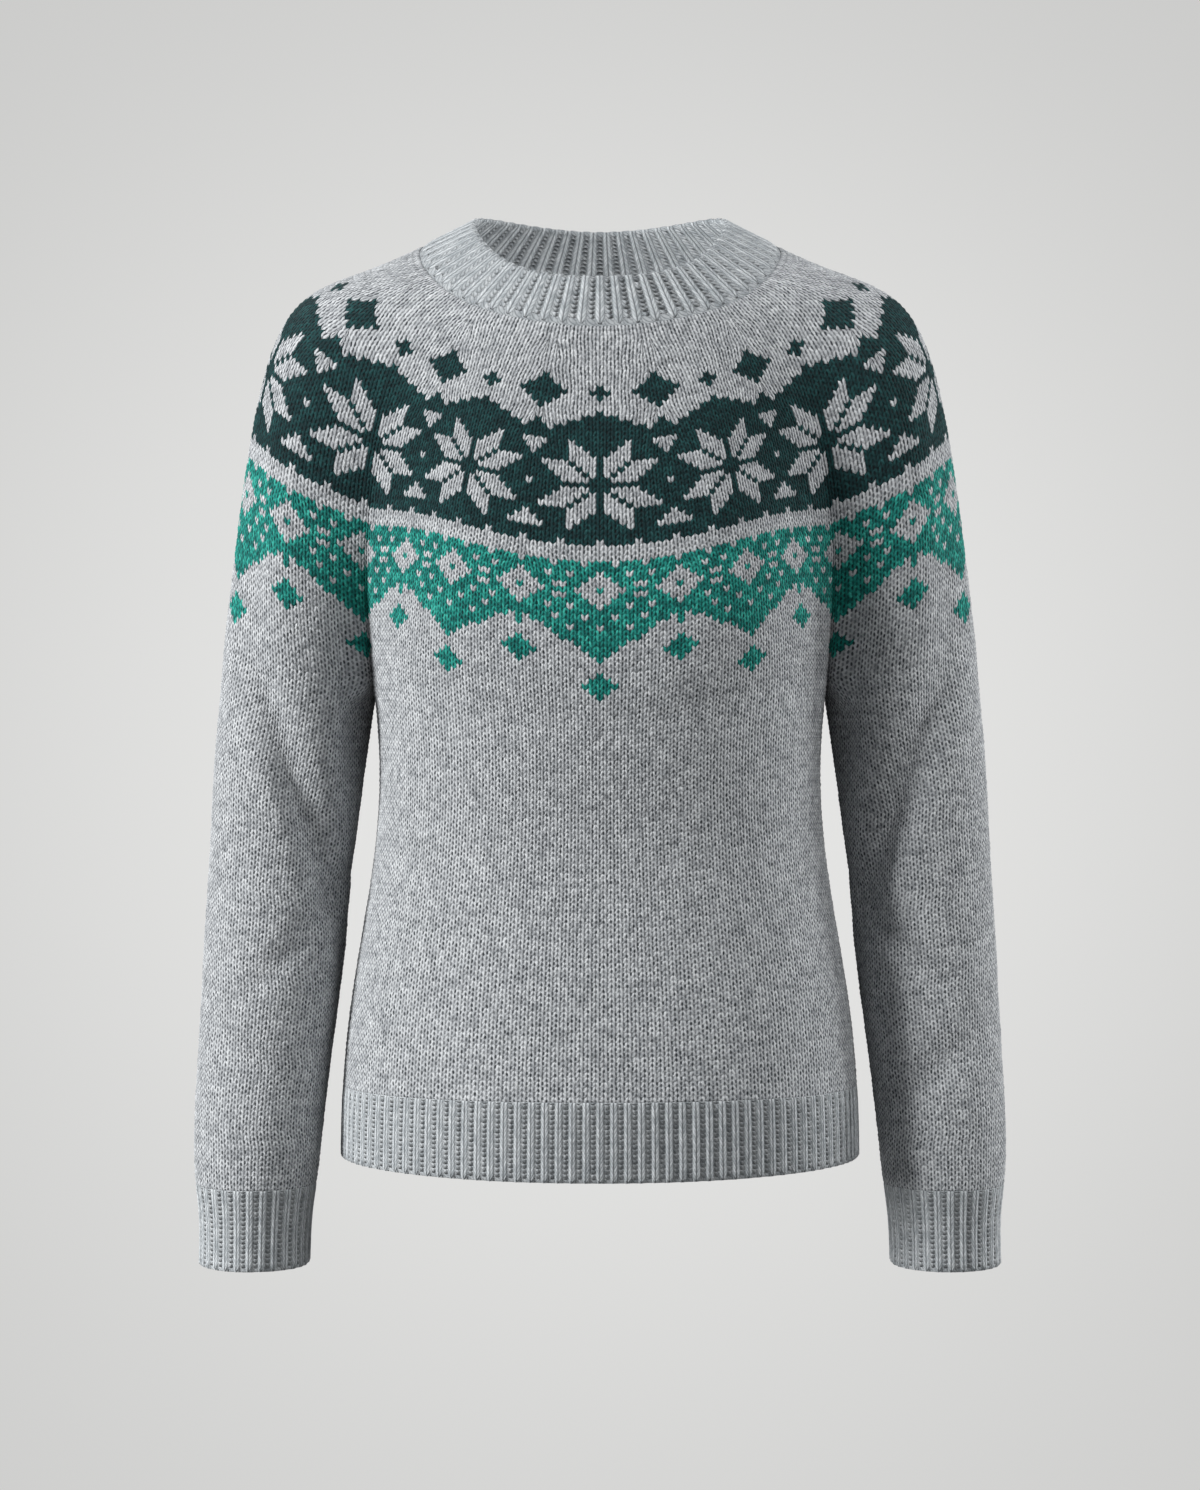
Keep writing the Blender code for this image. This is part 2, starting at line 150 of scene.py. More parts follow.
BODY_SECTIONS = [
    BodySection(*row)
    for row in (
        # z, half_width, front, back
        (-0.2600, 0.1590, 0.1285, 0.1140),
        (-0.2940, 0.1568, 0.1270, 0.1120),
        (-0.3360, 0.1537, 0.1235, 0.1070),
        (-0.3850, 0.1546, 0.1185, 0.1030),
        (-0.4410, 0.1617, 0.1190, 0.1070),
        (-0.5110, 0.1731, 0.1235, 0.1150),
        (-0.5775, 0.1792, 0.1270, 0.1205),
        (-0.6225, 0.1803, 0.1275, 0.1215),
    )
]


print("sections of the body:", len(BODY_SECTIONS))


# %% Curves through sections
def natural_spline(knots, values, at):
    """A smooth curve through values, one row for each knot, read at several places."""
    knots, values, at = (np.asarray(x, float) for x in (knots, values, at))
    steps = np.diff(knots)
    slopes = np.diff(values, axis=0) / steps[:, None]
    system = np.eye(len(knots))
    right = np.zeros_like(values)
    for i in range(1, len(knots) - 1):
        system[i, i - 1 : i + 2] = steps[i - 1], 2 * (steps[i - 1] + steps[i]), steps[i]
        right[i] = 6 * (slopes[i] - slopes[i - 1])
    bends = np.linalg.solve(system, right)
    i = np.clip(np.searchsorted(knots, at) - 1, 0, len(steps) - 1)
    step, below, above = steps[i], at - knots[i], knots[i + 1] - at
    step, below, above = step[..., None], below[..., None], above[..., None]
    return (
        bends[i] * above**3 / (6 * step)
        + bends[i + 1] * below**3 / (6 * step)
        + (values[i] / step - bends[i] * step / 6) * above
        + (values[i + 1] / step - bends[i + 1] * step / 6) * below
    )


def mirrored_spline(knots, points, at):
    """The same for a half round whose other half mirrors it in X."""
    knots, points = np.asarray(knots, float), np.asarray(points, float)
    before, after = -knots[:0:-1], 2 * knots[-1] - knots[-2::-1]
    whole = np.concatenate([before, knots, after])
    around = np.concatenate([points[:0:-1] * MIRROR, points, points[-2::-1] * MIRROR])
    return natural_spline(whole, around, at)


def section_at(sections, z):
    """The sizes of the section at each height, one array for each column but the first."""
    rows = np.array(sections, float)[::-1]
    return np.moveaxis(natural_spline(rows[:, 0], rows[:, 1:], z), -1, 0)


waist = section_at(BODY_SECTIONS, BODY_SECTIONS[3].z)[0]
print("half width of the waist: %.4f m" % waist)


# %% The pull of the underarm
def near(distance, reach):
    """1 at a place, falling smoothly to 0 at the reach from it."""
    return 0.5 + 0.5 * np.cos(math.pi * np.clip(np.abs(distance) / reach, 0, 1))


def pit_pull(off_side, z):
    """How far a point near the underarm leans to the line where body and sleeve are joined."""
    beside = near(np.maximum(off_side - HALF_GUSSET, 0), PIT_PULL_WALES)
    return beside * near(PIT_Z - z, PIT_PULL_DEPTH)


print("pull at the underarm itself:", pit_pull(0, PIT_Z))


# %% [markdown]
# The body's ring is a superellipse, a little squarer than an ellipse, because a chest and a back
# are flatter than an egg. Wales have to be spaced evenly along it, so a table turns a share of
# the way round into an angle.

# %% The body's surface
def oval_point(angle):
    side, along = np.sin(angle), -np.cos(angle)
    rounding = 2 / OVAL_POWER
    return (
        np.sign(side) * np.abs(side) ** rounding,
        np.sign(along) * np.abs(along) ** rounding,
    )


def shares_of(line):
    """The share of a line's length that lies before each of its points."""
    far = np.concatenate([[0], np.cumsum(np.linalg.norm(np.diff(line, axis=0), axis=1))])
    return far / far[-1]


def oval_shares(count=720):
    angles = np.linspace(0, 2 * math.pi, count + 1)
    x, y = oval_point(angles)
    return shares_of(np.stack([x * OVAL_ASPECT, y], axis=1)), angles


OVAL_SHARES = oval_shares()


def body_point(wale, z):
    """A point of the body's outer face, for a wale counted from the middle of the front."""
    wale, z = np.broadcast_arrays(np.asarray(wale, float), np.asarray(z, float))
    half_width, front, back = section_at(BODY_SECTIONS, z)
    x, y = oval_point(np.interp(wale / BODY_WALES % 1, *OVAL_SHARES))
    x, y = x * half_width, y * np.where(y < 0, front, back)
    off_side = np.abs(np.abs(wale % BODY_WALES - BODY_WALES / 2) - BODY_SIDE)
    x = x + pit_pull(off_side, z) * (np.sign(x) * (PIT_X - SEAM_GAP / 2) - x)
    return np.stack([x, y, z], -1)


def body_top(wale):
    """The height where the body ends and the yoke begins."""
    from_front = np.abs((np.asarray(wale) + BODY_WALES / 2) % BODY_WALES - BODY_WALES / 2)
    reach = FRONT_PIT - FLAT_WALES
    from_back = BODY_WALES / 2 - from_front
    return PIT_Z - FRONT_DIP * near(from_front, reach) - BACK_DIP * near(from_back, reach)


chest = body_point(np.arange(BODY_WALES + 1), BODY_SECTIONS[1].z)
print("round the chest: %.3f m" % np.linalg.norm(np.diff(chest, axis=0), axis=1).sum())


# %% [markdown]
# A sleeve is a nearly round tube that hangs a little forward. Its sections need a centre too,
# because the tube leans. Where the arm bends it, cloth folds: each fold is a soft trough that
# slants across the tube and fades out round it.

# %% Sections of the sleeve
class SleeveSection(NamedTuple):
    z: float
    centre_x: float
    centre_y: float
    half_width: float
    half_depth: float


SLEEVE_SECTIONS = [
    SleeveSection(*row)
    for row in (
        # z, centre_x, centre_y, half_width, half_depth
        (-0.2600, 0.2085, 0.0020, 0.0538, 0.0590),
        (-0.2940, 0.2112, 0.0025, 0.0537, 0.0585),
        (-0.3360, 0.2160, 0.0035, 0.0528, 0.0570),
        (-0.4060, 0.2225, 0.0040, 0.0502, 0.0540),
        (-0.4760, 0.2279, 0.0010, 0.0489, 0.0520),
        (-0.5460, 0.2337, -0.0050, 0.0461, 0.0490),
        (-0.6060, 0.2380, -0.0120, 0.0438, 0.0465),
        (-0.6365, 0.2388, -0.0155, 0.0413, 0.0436),
        (-0.6520, 0.2389, -0.0170, 0.0392, 0.0414),
        (-0.6915, 0.2392, -0.0210, 0.0381, 0.0402),
    )
]


print("sections of the sleeve:", len(SLEEVE_SECTIONS))


# %% Folds of the sleeve
class Fold(NamedTuple):
    z: float
    turn: float  # share of the way round, from the underarm past the front
    slant: float  # rise in metres over a whole turn
    height: float
    spread: float  # share of the turn that it takes up
    depth: float


SLEEVE_FOLDS = [
    Fold(*row)
    for row in (
        # z, turn, slant, height, spread, depth
        (-0.348, 0.235, 0.58, 0.030, 0.16, 0.0120),
        (-0.350, 0.80, -0.40, 0.018, 0.14, 0.0050),
        (-0.455, 0.14, -0.30, 0.015, 0.13, 0.0042),
        (-0.475, 0.84, 0.26, 0.016, 0.14, 0.0048),
        (-0.550, 0.26, 0.20, 0.015, 0.15, 0.0032),
        (-0.318, 0.075, 0.10, 0.040, 0.05, 0.0070),
    )
]


def sunk_by(fold, turn, z):
    """How deep one fold lies at a place of the sleeve."""
    above = (z - fold.z - fold.slant * (turn - fold.turn)) / fold.height
    beside = ((turn - fold.turn + 0.5) % 1 - 0.5) / fold.spread
    return fold.depth * np.exp(-(above**2)) * np.exp(-(beside**2))


print("deepest fold: %.1f mm" % (max(fold.depth for fold in SLEEVE_FOLDS) / MM))


# %% The sleeve's surface
def sleeve_point(wale, z):
    """A point of the left sleeve's outer face, for a wale from the underarm past the front."""
    wale, z = np.broadcast_arrays(np.asarray(wale, float), np.asarray(z, float))
    centre_x, centre_y, half_width, half_depth = section_at(SLEEVE_SECTIONS, z)
    turn = wale / SLEEVE_WALES % 1
    sunk = sum(sunk_by(fold, turn, z) for fold in SLEEVE_FOLDS)
    angle = 2 * math.pi * turn
    x = centre_x - (half_width - sunk) * np.cos(angle)
    y = centre_y - (half_depth - sunk) * np.sin(angle)
    off_side = np.minimum(wale % SLEEVE_WALES, -wale % SLEEVE_WALES)
    x = x + pit_pull(off_side, z) * (PIT_X + SEAM_GAP / 2 - x)
    return np.stack([x, y, z], -1)


def sleeve_top(wale):
    """The height where the sleeve ends and the yoke begins."""
    from_outside = np.asarray(wale) % SLEEVE_WALES - SLEEVE_WALES / 2
    reach = SLEEVE_WALES / 2 - HALF_GUSSET - FLAT_WALES
    return PIT_Z + ARM_RISE * near(from_outside, reach)


arm = sleeve_point(np.arange(SLEEVE_WALES + 1), SLEEVE_SECTIONS[2].z)
print("round the upper arm: %.3f m" % np.linalg.norm(np.diff(arm, axis=0), axis=1).sum())


# %% [markdown]
# The yoke has no side seams at all, so rings would describe it badly. Each wale runs over it as
# one curve instead, from the neck down to the round where body and sleeves begin. That curve is
# a cubic Bezier: its two ends are known, and two handles bend it over the chest or the shoulder.

# %% The round of the neck
class NeckPoint(NamedTuple):
    turn: float  # share of the way from the middle of the front to the middle of the back
    seam: tuple
    edge: tuple


NECK_POINTS = [
    NeckPoint(*row)
    for row in (
        # turn, seam, edge
        (0.00, (0.0, -0.1000, -0.0525), (0.0, -0.0840, -0.0174)),
        (0.18, (0.0570, -0.0920, -0.0455), (0.0410, -0.0755, -0.0130)),
        (0.34, (0.1010, -0.0650, -0.0260), (0.0700, -0.0515, 0.0020)),
        (0.48, (0.1240, -0.0230, 0.0020), (0.0860, -0.0150, 0.0240)),
        (0.60, (0.1240, 0.0240, 0.0205), (0.0880, 0.0220, 0.0385)),
        (0.78, (0.0850, 0.0710, 0.0200), (0.0620, 0.0520, 0.0410)),
        (1.00, (0.0, 0.0940, 0.0100), (0.0, 0.0690, 0.0371)),
    )
]


def neck_line(points, share, count=400):
    """Points at those shares of the distance along a half round of the neckband."""
    knots = [p.turn for p in NECK_POINTS]
    turns = np.linspace(0, 1, count + 1)
    even = np.interp(share, shares_of(mirrored_spline(knots, points, turns)), turns)
    return mirrored_spline(knots, points, even)


def neck_lines(share):
    """The seam and the upper edge of the neckband, at those shares of a half round."""
    seams, edges = [p.seam for p in NECK_POINTS], [p.edge for p in NECK_POINTS]
    return neck_line(seams, share), neck_line(edges, share)


_, neck_edge = neck_lines(np.linspace(0, 1, 50))
print("width of the neck opening: %.3f m" % (2 * neck_edge[:, 0].max()))


# %% The round where the yoke ends
def round_below(wale, courses=0):
    """A round that many courses below the yoke, over half the sweater: front, sleeve, back."""
    body_wale = np.where(wale >= BACK_PIT, wale - ARM_WALES + GUSSET_WALES, wale)
    top = body_top(body_wale)
    on_body = body_point(body_wale, top - courses * (top - HEM_SEAM_Z) / BODY_COURSES)
    sleeve_wale = wale - FRONT_PIT + HALF_GUSSET
    top = sleeve_top(sleeve_wale)
    on_sleeve = sleeve_point(sleeve_wale, top - courses * (top - CUFF_SEAM_Z) / SLEEVE_COURSES)
    on_arm = (wale > FRONT_PIT) & (wale < BACK_PIT)
    return np.where(on_arm[..., None], on_sleeve, on_body)


print("lowest place of the yoke: %.3f m" % round_below(np.arange(HALF_ROUND))[:, 2].min())


# %% The wales of the yoke
class Station(NamedTuple):
    wale: float
    neck_handle: tuple
    arm_handle: tuple


YOKE_STATIONS = [
    Station(*row)
    for row in (
        # wale, neck_handle, arm_handle
        (0.0, (0.0, -0.1180, -0.1250), (0.0, -0.1400, -0.2250)),
        (21.0, (0.0800, -0.1100, -0.1080), (0.1020, -0.1290, -0.2150)),
        (FRONT_PIT, (0.1470, -0.0840, -0.0650), (0.1640, -0.0860, -0.1850)),
        (57.0, (0.1980, -0.0520, -0.0320), (0.2280, -0.0770, -0.0900)),
        (HALF_ROUND / 2, (0.2260, 0.0030, -0.0250), (0.2310, 0.0030, 0.0100)),
        (86.0, (0.1980, 0.0560, -0.0180), (0.2280, 0.0820, -0.0800)),
        (BACK_PIT, (0.1400, 0.0920, -0.0420), (0.1640, 0.0960, -0.1750)),
        (122.0, (0.0760, 0.1130, -0.0650), (0.1020, 0.1180, -0.1900)),
        (HALF_ROUND, (0.0, 0.1190, -0.0600), (0.0, 0.1220, -0.1850)),
    )
]


def yoke_points(wales, shares, count=100):
    """The yoke over half the sweater, read at shares of the way down each wale from the neck."""
    knots = [s.wale for s in YOKE_STATIONS]
    neck_handle = mirrored_spline(knots, [s.neck_handle for s in YOKE_STATIONS], wales)
    arm_handle = mirrored_spline(knots, [s.arm_handle for s in YOKE_STATIONS], wales)
    start, _ = neck_lines(wales / HALF_ROUND)
    end = round_below(wales)
    end[(wales == FRONT_PIT) | (wales == BACK_PIT), 0] = PIT_X
    t = np.linspace(0, 1, count + 1)[:, None, None]
    lines = (
        (1 - t) ** 3 * start
        + 3 * (1 - t) ** 2 * t * neck_handle
        + 3 * (1 - t) * t**2 * arm_handle
        + t**3 * end
    )
    found = np.empty((len(shares), len(wales), 3))
    for j in range(len(wales)):
        along = shares_of(lines[:, j])
        for axis in range(3):
            found[:, j, axis] = np.interp(shares, along, lines[:, j, axis])
    return found


def both_halves(half):
    """A whole round from its +X half, whose first and last columns lie on the middle."""
    return np.concatenate([half, half[:, -2:0:-1] * MIRROR], axis=1)


front = yoke_points(np.array([0.0, 1.0]), np.linspace(0, 1, 50))[:, 0]
print("down the front of the yoke: %.3f m" % np.linalg.norm(np.diff(front, axis=0), axis=1).sum())

# %% [markdown]
# ## From a surface to a knitter's grid
# Stitches are laid out flat first, one unit wide and one unit high, and wrapped over the garment
# afterwards. What they are wrapped over is a form: a plain grid mesh whose UV map counts wales and
# courses. It carries two more things at each point, the way out of the cloth and how steeply the
# legs of a stitch lean there. Each form reaches a little past its own piece, into its neighbour,
# so that two pieces agree along a seam down to the last stitch.

# %% Forms
MARGIN_WALES = 1
MARGIN_COURSES = 2
LEAN = 0.6  # courses that a stitch's leg climbs from the middle of its wale to the side
TAPER = 3.0  # stitches over which the lean fades to nothing at the neck and under the arms
RIB_TAPER = 1.0  # and over which it fades at the ribs
COURSE = 3.5 * MM  # the height of a stitch, for the rows past the ends of a tube


class Form(NamedTuple):
    shape: bpy.types.Object
    wales: int
    courses: int


def wale_line(wales):
    """Places round a piece, two for each wale, a little more than once round."""
    steps = 2 * (wales + 2 * MARGIN_WALES)
    return np.arange(steps + 1) / 2 - 0.5 - MARGIN_WALES


def course_line(courses):
    return np.arange(-MARGIN_COURSES, courses + MARGIN_COURSES + 1).astype(float)


def outward(place):
    """Unit normals of a grid whose rows run upwards and whose columns run anticlockwise."""
    normal = np.cross(np.gradient(place, axis=1), np.gradient(place, axis=0))
    return normal / np.maximum(np.linalg.norm(normal, axis=-1, keepdims=True), 1e-12)


def new_mesh(name, points, faces=()):
    mesh = bpy.data.meshes.new(name)
    mesh.from_pydata(np.asarray(points).tolist(), [], np.asarray(faces).tolist())
    return mesh


def linked(name, mesh):
    made = bpy.data.objects.new(name, mesh)
    bpy.context.scene.collection.objects.link(made)
    return made


def form_object(name, place, out, lean):
    """A grid mesh whose UV map runs from 0 to 1 over its columns and rows, margins included."""
    rows, columns = place.shape[:2]
    number = np.arange(rows * columns).reshape(rows, columns)
    faces = np.stack([number[:-1, :-1], number[:-1, 1:], number[1:, 1:], number[1:, :-1]], -1)
    faces = faces.reshape(-1, 4)
    mesh = new_mesh(name, place.reshape(-1, 3), faces)
    u, v = np.meshgrid(np.linspace(0, 1, columns), np.linspace(0, 1, rows))
    corners = np.stack([u, v], -1).reshape(-1, 2)[faces.reshape(-1)]
    mesh.uv_layers.new(name="form").uv.foreach_set("vector", corners.ravel())
    mesh.attributes.new("out", "FLOAT_VECTOR", "POINT").data.foreach_set("vector", out.ravel())
    lean = np.broadcast_to(lean, place.shape[:2])
    mesh.attributes.new("lean", "FLOAT", "POINT").data.foreach_set("value", lean.ravel())
    wales = (columns - 1) // 2 - 2 * MARGIN_WALES
    return Form(linked(name, mesh), wales, rows - 1 - 2 * MARGIN_COURSES)


def ramp(distance, reach=TAPER):
    """0 at an edge, rising smoothly to 1."""
    x = np.clip(distance / reach, 0, 1)
    return x * x * (3 - 2 * x)


print("places across the yoke's form:", len(wale_line(YOKE_WALES)))


# %% [markdown]
# A round yoke is narrower at the neck than over the shoulders, so a knitter takes out whole
# columns of stitches on the way up: two are knitted together, and one column ends. Here each
# column has a width that shrinks to nothing over its last three courses. The others share the
# room that it leaves, so the grid stays closed and no stitch gets thin.

# %% Columns that end
REPEAT = 22
YOKE_ENDS = {10: 31, 9: 54, 8: 59, 7: 67, 6: 73}  # distance from a motif's middle: last course
SLEEVE_ENDS = {1: 8, 2: 24, 3: 40, 4: 56, 5: 72}  # distance from the underarm: first course
FADE_COURSES = 4.0


def yoke_distance(column):
    """How many wales a column lies from the middle of its motif."""
    return np.abs((np.asarray(column) + REPEAT // 2) % REPEAT - REPEAT // 2)


def yoke_width(column, course):
    ends = YOKE_ENDS.get(int(yoke_distance(column)), math.inf)
    return np.clip((ends - course) / FADE_COURSES, 0, 1)


def sleeve_width(column, course):
    distance = min(column % SLEEVE_WALES, -column % SLEEVE_WALES)
    begins = SLEEVE_ENDS.get(int(distance), -math.inf)
    return np.clip((course - begins) / FADE_COURSES, 0, 1)


def folded(lean, places, courses, wales, width):
    """The lean with its sign turned along the middle of each ended column, which closes it flat."""
    lean = np.array(np.broadcast_to(lean, (len(courses), len(places))))
    for at in np.flatnonzero(places % 1 == 0):
        column = int(places[at]) % wales
        gone = np.array([width(column, course) == 0 for course in courses])
        lean[gone, at] *= -1
    return lean


def stretched(wales, courses, width, places):
    """Where each place of a full round lies once the narrow columns have given up their room."""
    found = np.empty((len(courses), len(places)))
    sides = np.arange(wales + 1) - 0.5
    for row, course in enumerate(courses):
        widths = np.array([width(column, course) for column in range(wales)])
        far = np.concatenate([[0], np.cumsum(widths)]) * wales / widths.sum()
        far -= far[1] / 2
        turns, within = np.divmod(places + 0.5, wales)
        found[row] = np.interp(within - 0.5, sides, far) + turns * wales
    return found


print("columns that end on the yoke:", 2 * len(YOKE_ENDS) * YOKE_WALES // REPEAT)


# %% [markdown]
# The yoke's form comes first, because its neighbours borrow its lowest rows. Its rings are worked
# out at every half wale and every course, with two more below, on the body and sleeves, and two
# above, on the neckband.

# %% The yoke's form
HALF_STEPS = np.arange(2 * HALF_ROUND + 1) / 2


def round_above(courses):
    """A round that many courses above the neck seam, over half the sweater."""
    seam, edge = neck_lines(HALF_STEPS / HALF_ROUND)
    return seam + (edge - seam) * courses / NECK_BAND_COURSES


yoke_half = np.concatenate(
    [
        [round_below(HALF_STEPS, 2), round_below(HALF_STEPS, 1)],
        yoke_points(HALF_STEPS, 1 - np.arange(YOKE_COURSES + 1) / YOKE_COURSES),
        [round_above(1), round_above(2)],
    ]
)
yoke_rings = both_halves(yoke_half)
closed = np.concatenate([yoke_rings[:, -1:], yoke_rings, yoke_rings[:, :1]], axis=1)
yoke_out = outward(closed)[:, 1:-1]


def yoke_row(course, wales, rings=yoke_rings):
    """Points on the yoke, that many courses above the underarm round."""
    ring = rings[int(course) + MARGIN_COURSES]
    ring = np.concatenate([ring, ring[:1]])
    places = np.arange(len(ring)) / 2
    return np.stack([np.interp(wales % YOKE_WALES, places, ring[:, a]) for a in range(3)], -1)


def yoke_lean(wale, course):
    """The lean fades at the neck seam, and at the four pits where three pieces meet."""
    from_middle = np.minimum(wale % YOKE_WALES, -wale % YOKE_WALES)
    from_pit = np.minimum(np.abs(from_middle - FRONT_PIT), np.abs(from_middle - BACK_PIT))
    return LEAN * ramp(np.hypot(np.maximum(course, 0), from_pit)) * ramp(YOKE_COURSES - course)


def make_yoke_form():
    wales, courses = wale_line(YOKE_WALES), course_line(YOKE_COURSES)
    where = stretched(YOKE_WALES, courses, yoke_width, wales)
    place, out = (
        np.stack([yoke_row(course, row, rings) for course, row in zip(courses, where)])
        for rings in (yoke_rings, yoke_out)
    )
    lean = folded(yoke_lean(wales, courses[:, None]), wales, courses, YOKE_WALES, yoke_width)
    return form_object("yoke form", place, out, lean)


yoke_form = make_yoke_form()
print("wales and courses of the yoke's form:", yoke_form[1:])


# %% [markdown]
# The body and the sleeves hang from the yoke. Under each arm nine of their wales meet each other
# instead, and there the stitches lie straight, because that seam is grafted.

# %% The forms of the body and the sleeves
def hanging_lean(off_gusset, course, courses):
    """The lean fades at the rib, and at the top beside the stitches that are grafted."""
    from_top = np.hypot(np.maximum(courses - course, 0), off_gusset)
    return LEAN * ramp(from_top) * ramp(course, RIB_TAPER)


def make_body_form():
    wales, courses = wale_line(BODY_WALES), course_line(BODY_COURSES)
    wale, course = np.meshgrid(wales, courses)
    rise = (body_top(wale) - HEM_SEAM_Z) * np.clip(course / BODY_COURSES, 0, 1)
    z = HEM_SEAM_Z + rise + COURSE * (np.minimum(course, 0) + np.maximum(course - BODY_COURSES, 0))
    place = body_point(wale, z)
    around = wales % BODY_WALES
    from_side = np.abs(np.abs(around - BODY_WALES / 2) - BODY_SIDE)
    on_back = np.abs(around - BODY_WALES / 2) < BODY_SIDE
    on_yoke = from_side >= HALF_GUSSET
    yoke_wale = np.where(on_back, around + ARM_WALES - GUSSET_WALES, around)
    yoke_wale = np.where(around > BODY_WALES / 2 + BODY_SIDE, around - BODY_WALES, yoke_wale)
    for above in range(MARGIN_COURSES + 1):
        row = yoke_row(above, yoke_wale)
        at = MARGIN_COURSES + BODY_COURSES + above
        place[at, on_yoke] = row[on_yoke]
    lean = hanging_lean(np.maximum(from_side - HALF_GUSSET, 0), courses[:, None], BODY_COURSES)
    return form_object("body form", place, outward(place), lean)


def sleeve_place(wale, course):
    rise = (sleeve_top(wale) - CUFF_SEAM_Z) * np.clip(course / SLEEVE_COURSES, 0, 1)
    beyond = np.minimum(course, 0) + np.maximum(course - SLEEVE_COURSES, 0)
    return sleeve_point(wale, CUFF_SEAM_Z + rise + COURSE * beyond)


def make_sleeve_form(side):
    wales, courses = wale_line(SLEEVE_WALES), course_line(SLEEVE_COURSES)
    course = courses[:, None]
    wale = stretched(SLEEVE_WALES, courses, sleeve_width, side * wales)
    place = sleeve_place(wale, course)
    # The way out is found on even wales first, because columns of no width have none.
    even = np.arange(-4, 2 * SLEEVE_WALES + 5) / 2
    even_out = outward(sleeve_place(even, course))
    out = np.stack(
        [
            [np.interp(row % SLEEVE_WALES, even, level[:, axis]) for axis in range(3)]
            for row, level in zip(wale, even_out)
        ]
    ).swapaxes(1, 2)
    around = side * wales % SLEEVE_WALES
    off_middle = np.minimum(around, SLEEVE_WALES - around)
    on_yoke = off_middle >= HALF_GUSSET
    for above in range(MARGIN_COURSES + 1):
        row = yoke_row(above, around + FRONT_PIT - HALF_GUSSET)
        place[MARGIN_COURSES + SLEEVE_COURSES + above, on_yoke] = row[on_yoke]
    if side < 0:
        place, out = place * MIRROR, out * MIRROR
    lean = hanging_lean(np.maximum(off_middle - HALF_GUSSET, 0), course, SLEEVE_COURSES)
    lean = folded(lean, wales, courses, SLEEVE_WALES, sleeve_width)
    for distance, begins in SLEEVE_ENDS.items():
        not_begun = (off_middle >= distance - 0.5) & (off_middle <= max(SLEEVE_ENDS) + 0.5)
        lean[begins + MARGIN_COURSES, not_begun] = 0
    return form_object("sleeve form", place, out, lean)


body_form = make_body_form()
sleeve_forms = {"left": make_sleeve_form(1), "right": make_sleeve_form(-1)}
print("wales and courses of the body's form:", body_form[1:])

# %% [markdown]
# A ribbed band has two good sides, because one sees into the neck and up into the hem. Its form
# therefore runs all the way over the edge: up one face, round the rim and down the other. A rib
# is a corrugation, so every other wale of the form stands out and the ones between sink in.

# %% The way round a band's edge
HEM_WALES, HEM_COURSES = 224, 16
CUFF_WALES, CUFF_COURSES = 56, 17
NECK_WALES = 116
HIDDEN_COURSES = 4  # long stitches on the inside of the hem and the cuffs
RIM_COURSES = 2
RIM_ROUND = 1.2 * MM
RIB_RISE = 0.38 * MM
RIB_FULL = 6  # the ribs stand full from one part in six of a band's height
RIB_LEAN = 1.5
NECK_LIFT = 0.7 * MM  # how far the neckband stands out from the yoke
NECK_SUNK = 0.6 * MM  # and how far its seam lies in
SUNK_REACH = 0.12  # of the band's height
NUDGE = 0.02  # of its height, to feel which way the band runs


class PathPoint(NamedTuple):
    along: float  # share of the way from the seam to the edge
    depth: float  # share of the wall's thickness, from the outer face
    past: float  # metres beyond the edge


def band_path(outer_courses, inner_courses):
    """Places on the way up the outer face, over the rim and down the inner face, a course apart."""
    outer = [PathPoint(n / outer_courses, 0, 0) for n in range(-MARGIN_COURSES, outer_courses + 1)]
    rim = [PathPoint(1, 0.5, RIM_ROUND)]
    down = range(inner_courses, -MARGIN_COURSES - 1, -1)
    return outer + rim + [PathPoint(n / inner_courses, 1, 0) for n in down]


print("places on the way round the hem's edge:", len(band_path(HEM_COURSES, HIDDEN_COURSES)))


# %% The form of a band
def rib_lean(at, path):
    """Steep legs on the knit wales, level bars on the purl wales, and none of it at the rim."""
    depth = np.array([p.depth for p in path])[:, None]
    along = np.array([p.along for p in path])[:, None]
    is_purl = (at % 2 == 1) == (depth < 0.5)
    lean = RIB_LEAN * np.where(is_purl & (at % 1 == 0), -1.0, 1.0) * (depth != 0.5)
    return lean * (along > 0)


def band_form(name, point, wales, path, up, lift=0.0, sunk=0.0):
    """The form of a band, where point(wale, along) lies on its plain outer face."""
    at = wale_line(wales)
    along = np.array([p.along for p in path])[:, None]
    plain = point(at, along)
    beyond = point(at, along + NUDGE) - point(at, along - NUDGE)
    beyond /= np.linalg.norm(beyond, axis=-1, keepdims=True)
    away = np.cross(np.gradient(plain, axis=1), up * beyond)
    away /= np.linalg.norm(away, axis=-1, keepdims=True)
    depth = np.array([p.depth for p in path])[:, None, None] * WALL
    past = np.array([p.past for p in path])[:, None, None]
    rib = (RIB_RISE * np.cos(math.pi * at) + lift) * np.minimum(np.clip(along, 0, 1) * RIB_FULL, 1)
    rib = rib - sunk * near(along, SUNK_REACH)
    place = plain + away * (rib[..., None] - depth) + beyond * past
    lean = rib_lean(at, path)
    if up < 0:
        place, lean = place[::-1], lean[::-1]
    return form_object(name, place, outward(place), lean)


# %% [markdown]
# A band's plain face is the face of the tube that it ends, carried on. The band has its own number
# of wales, more at the hem and fewer at the cuffs, so they are spread over those of the tube.

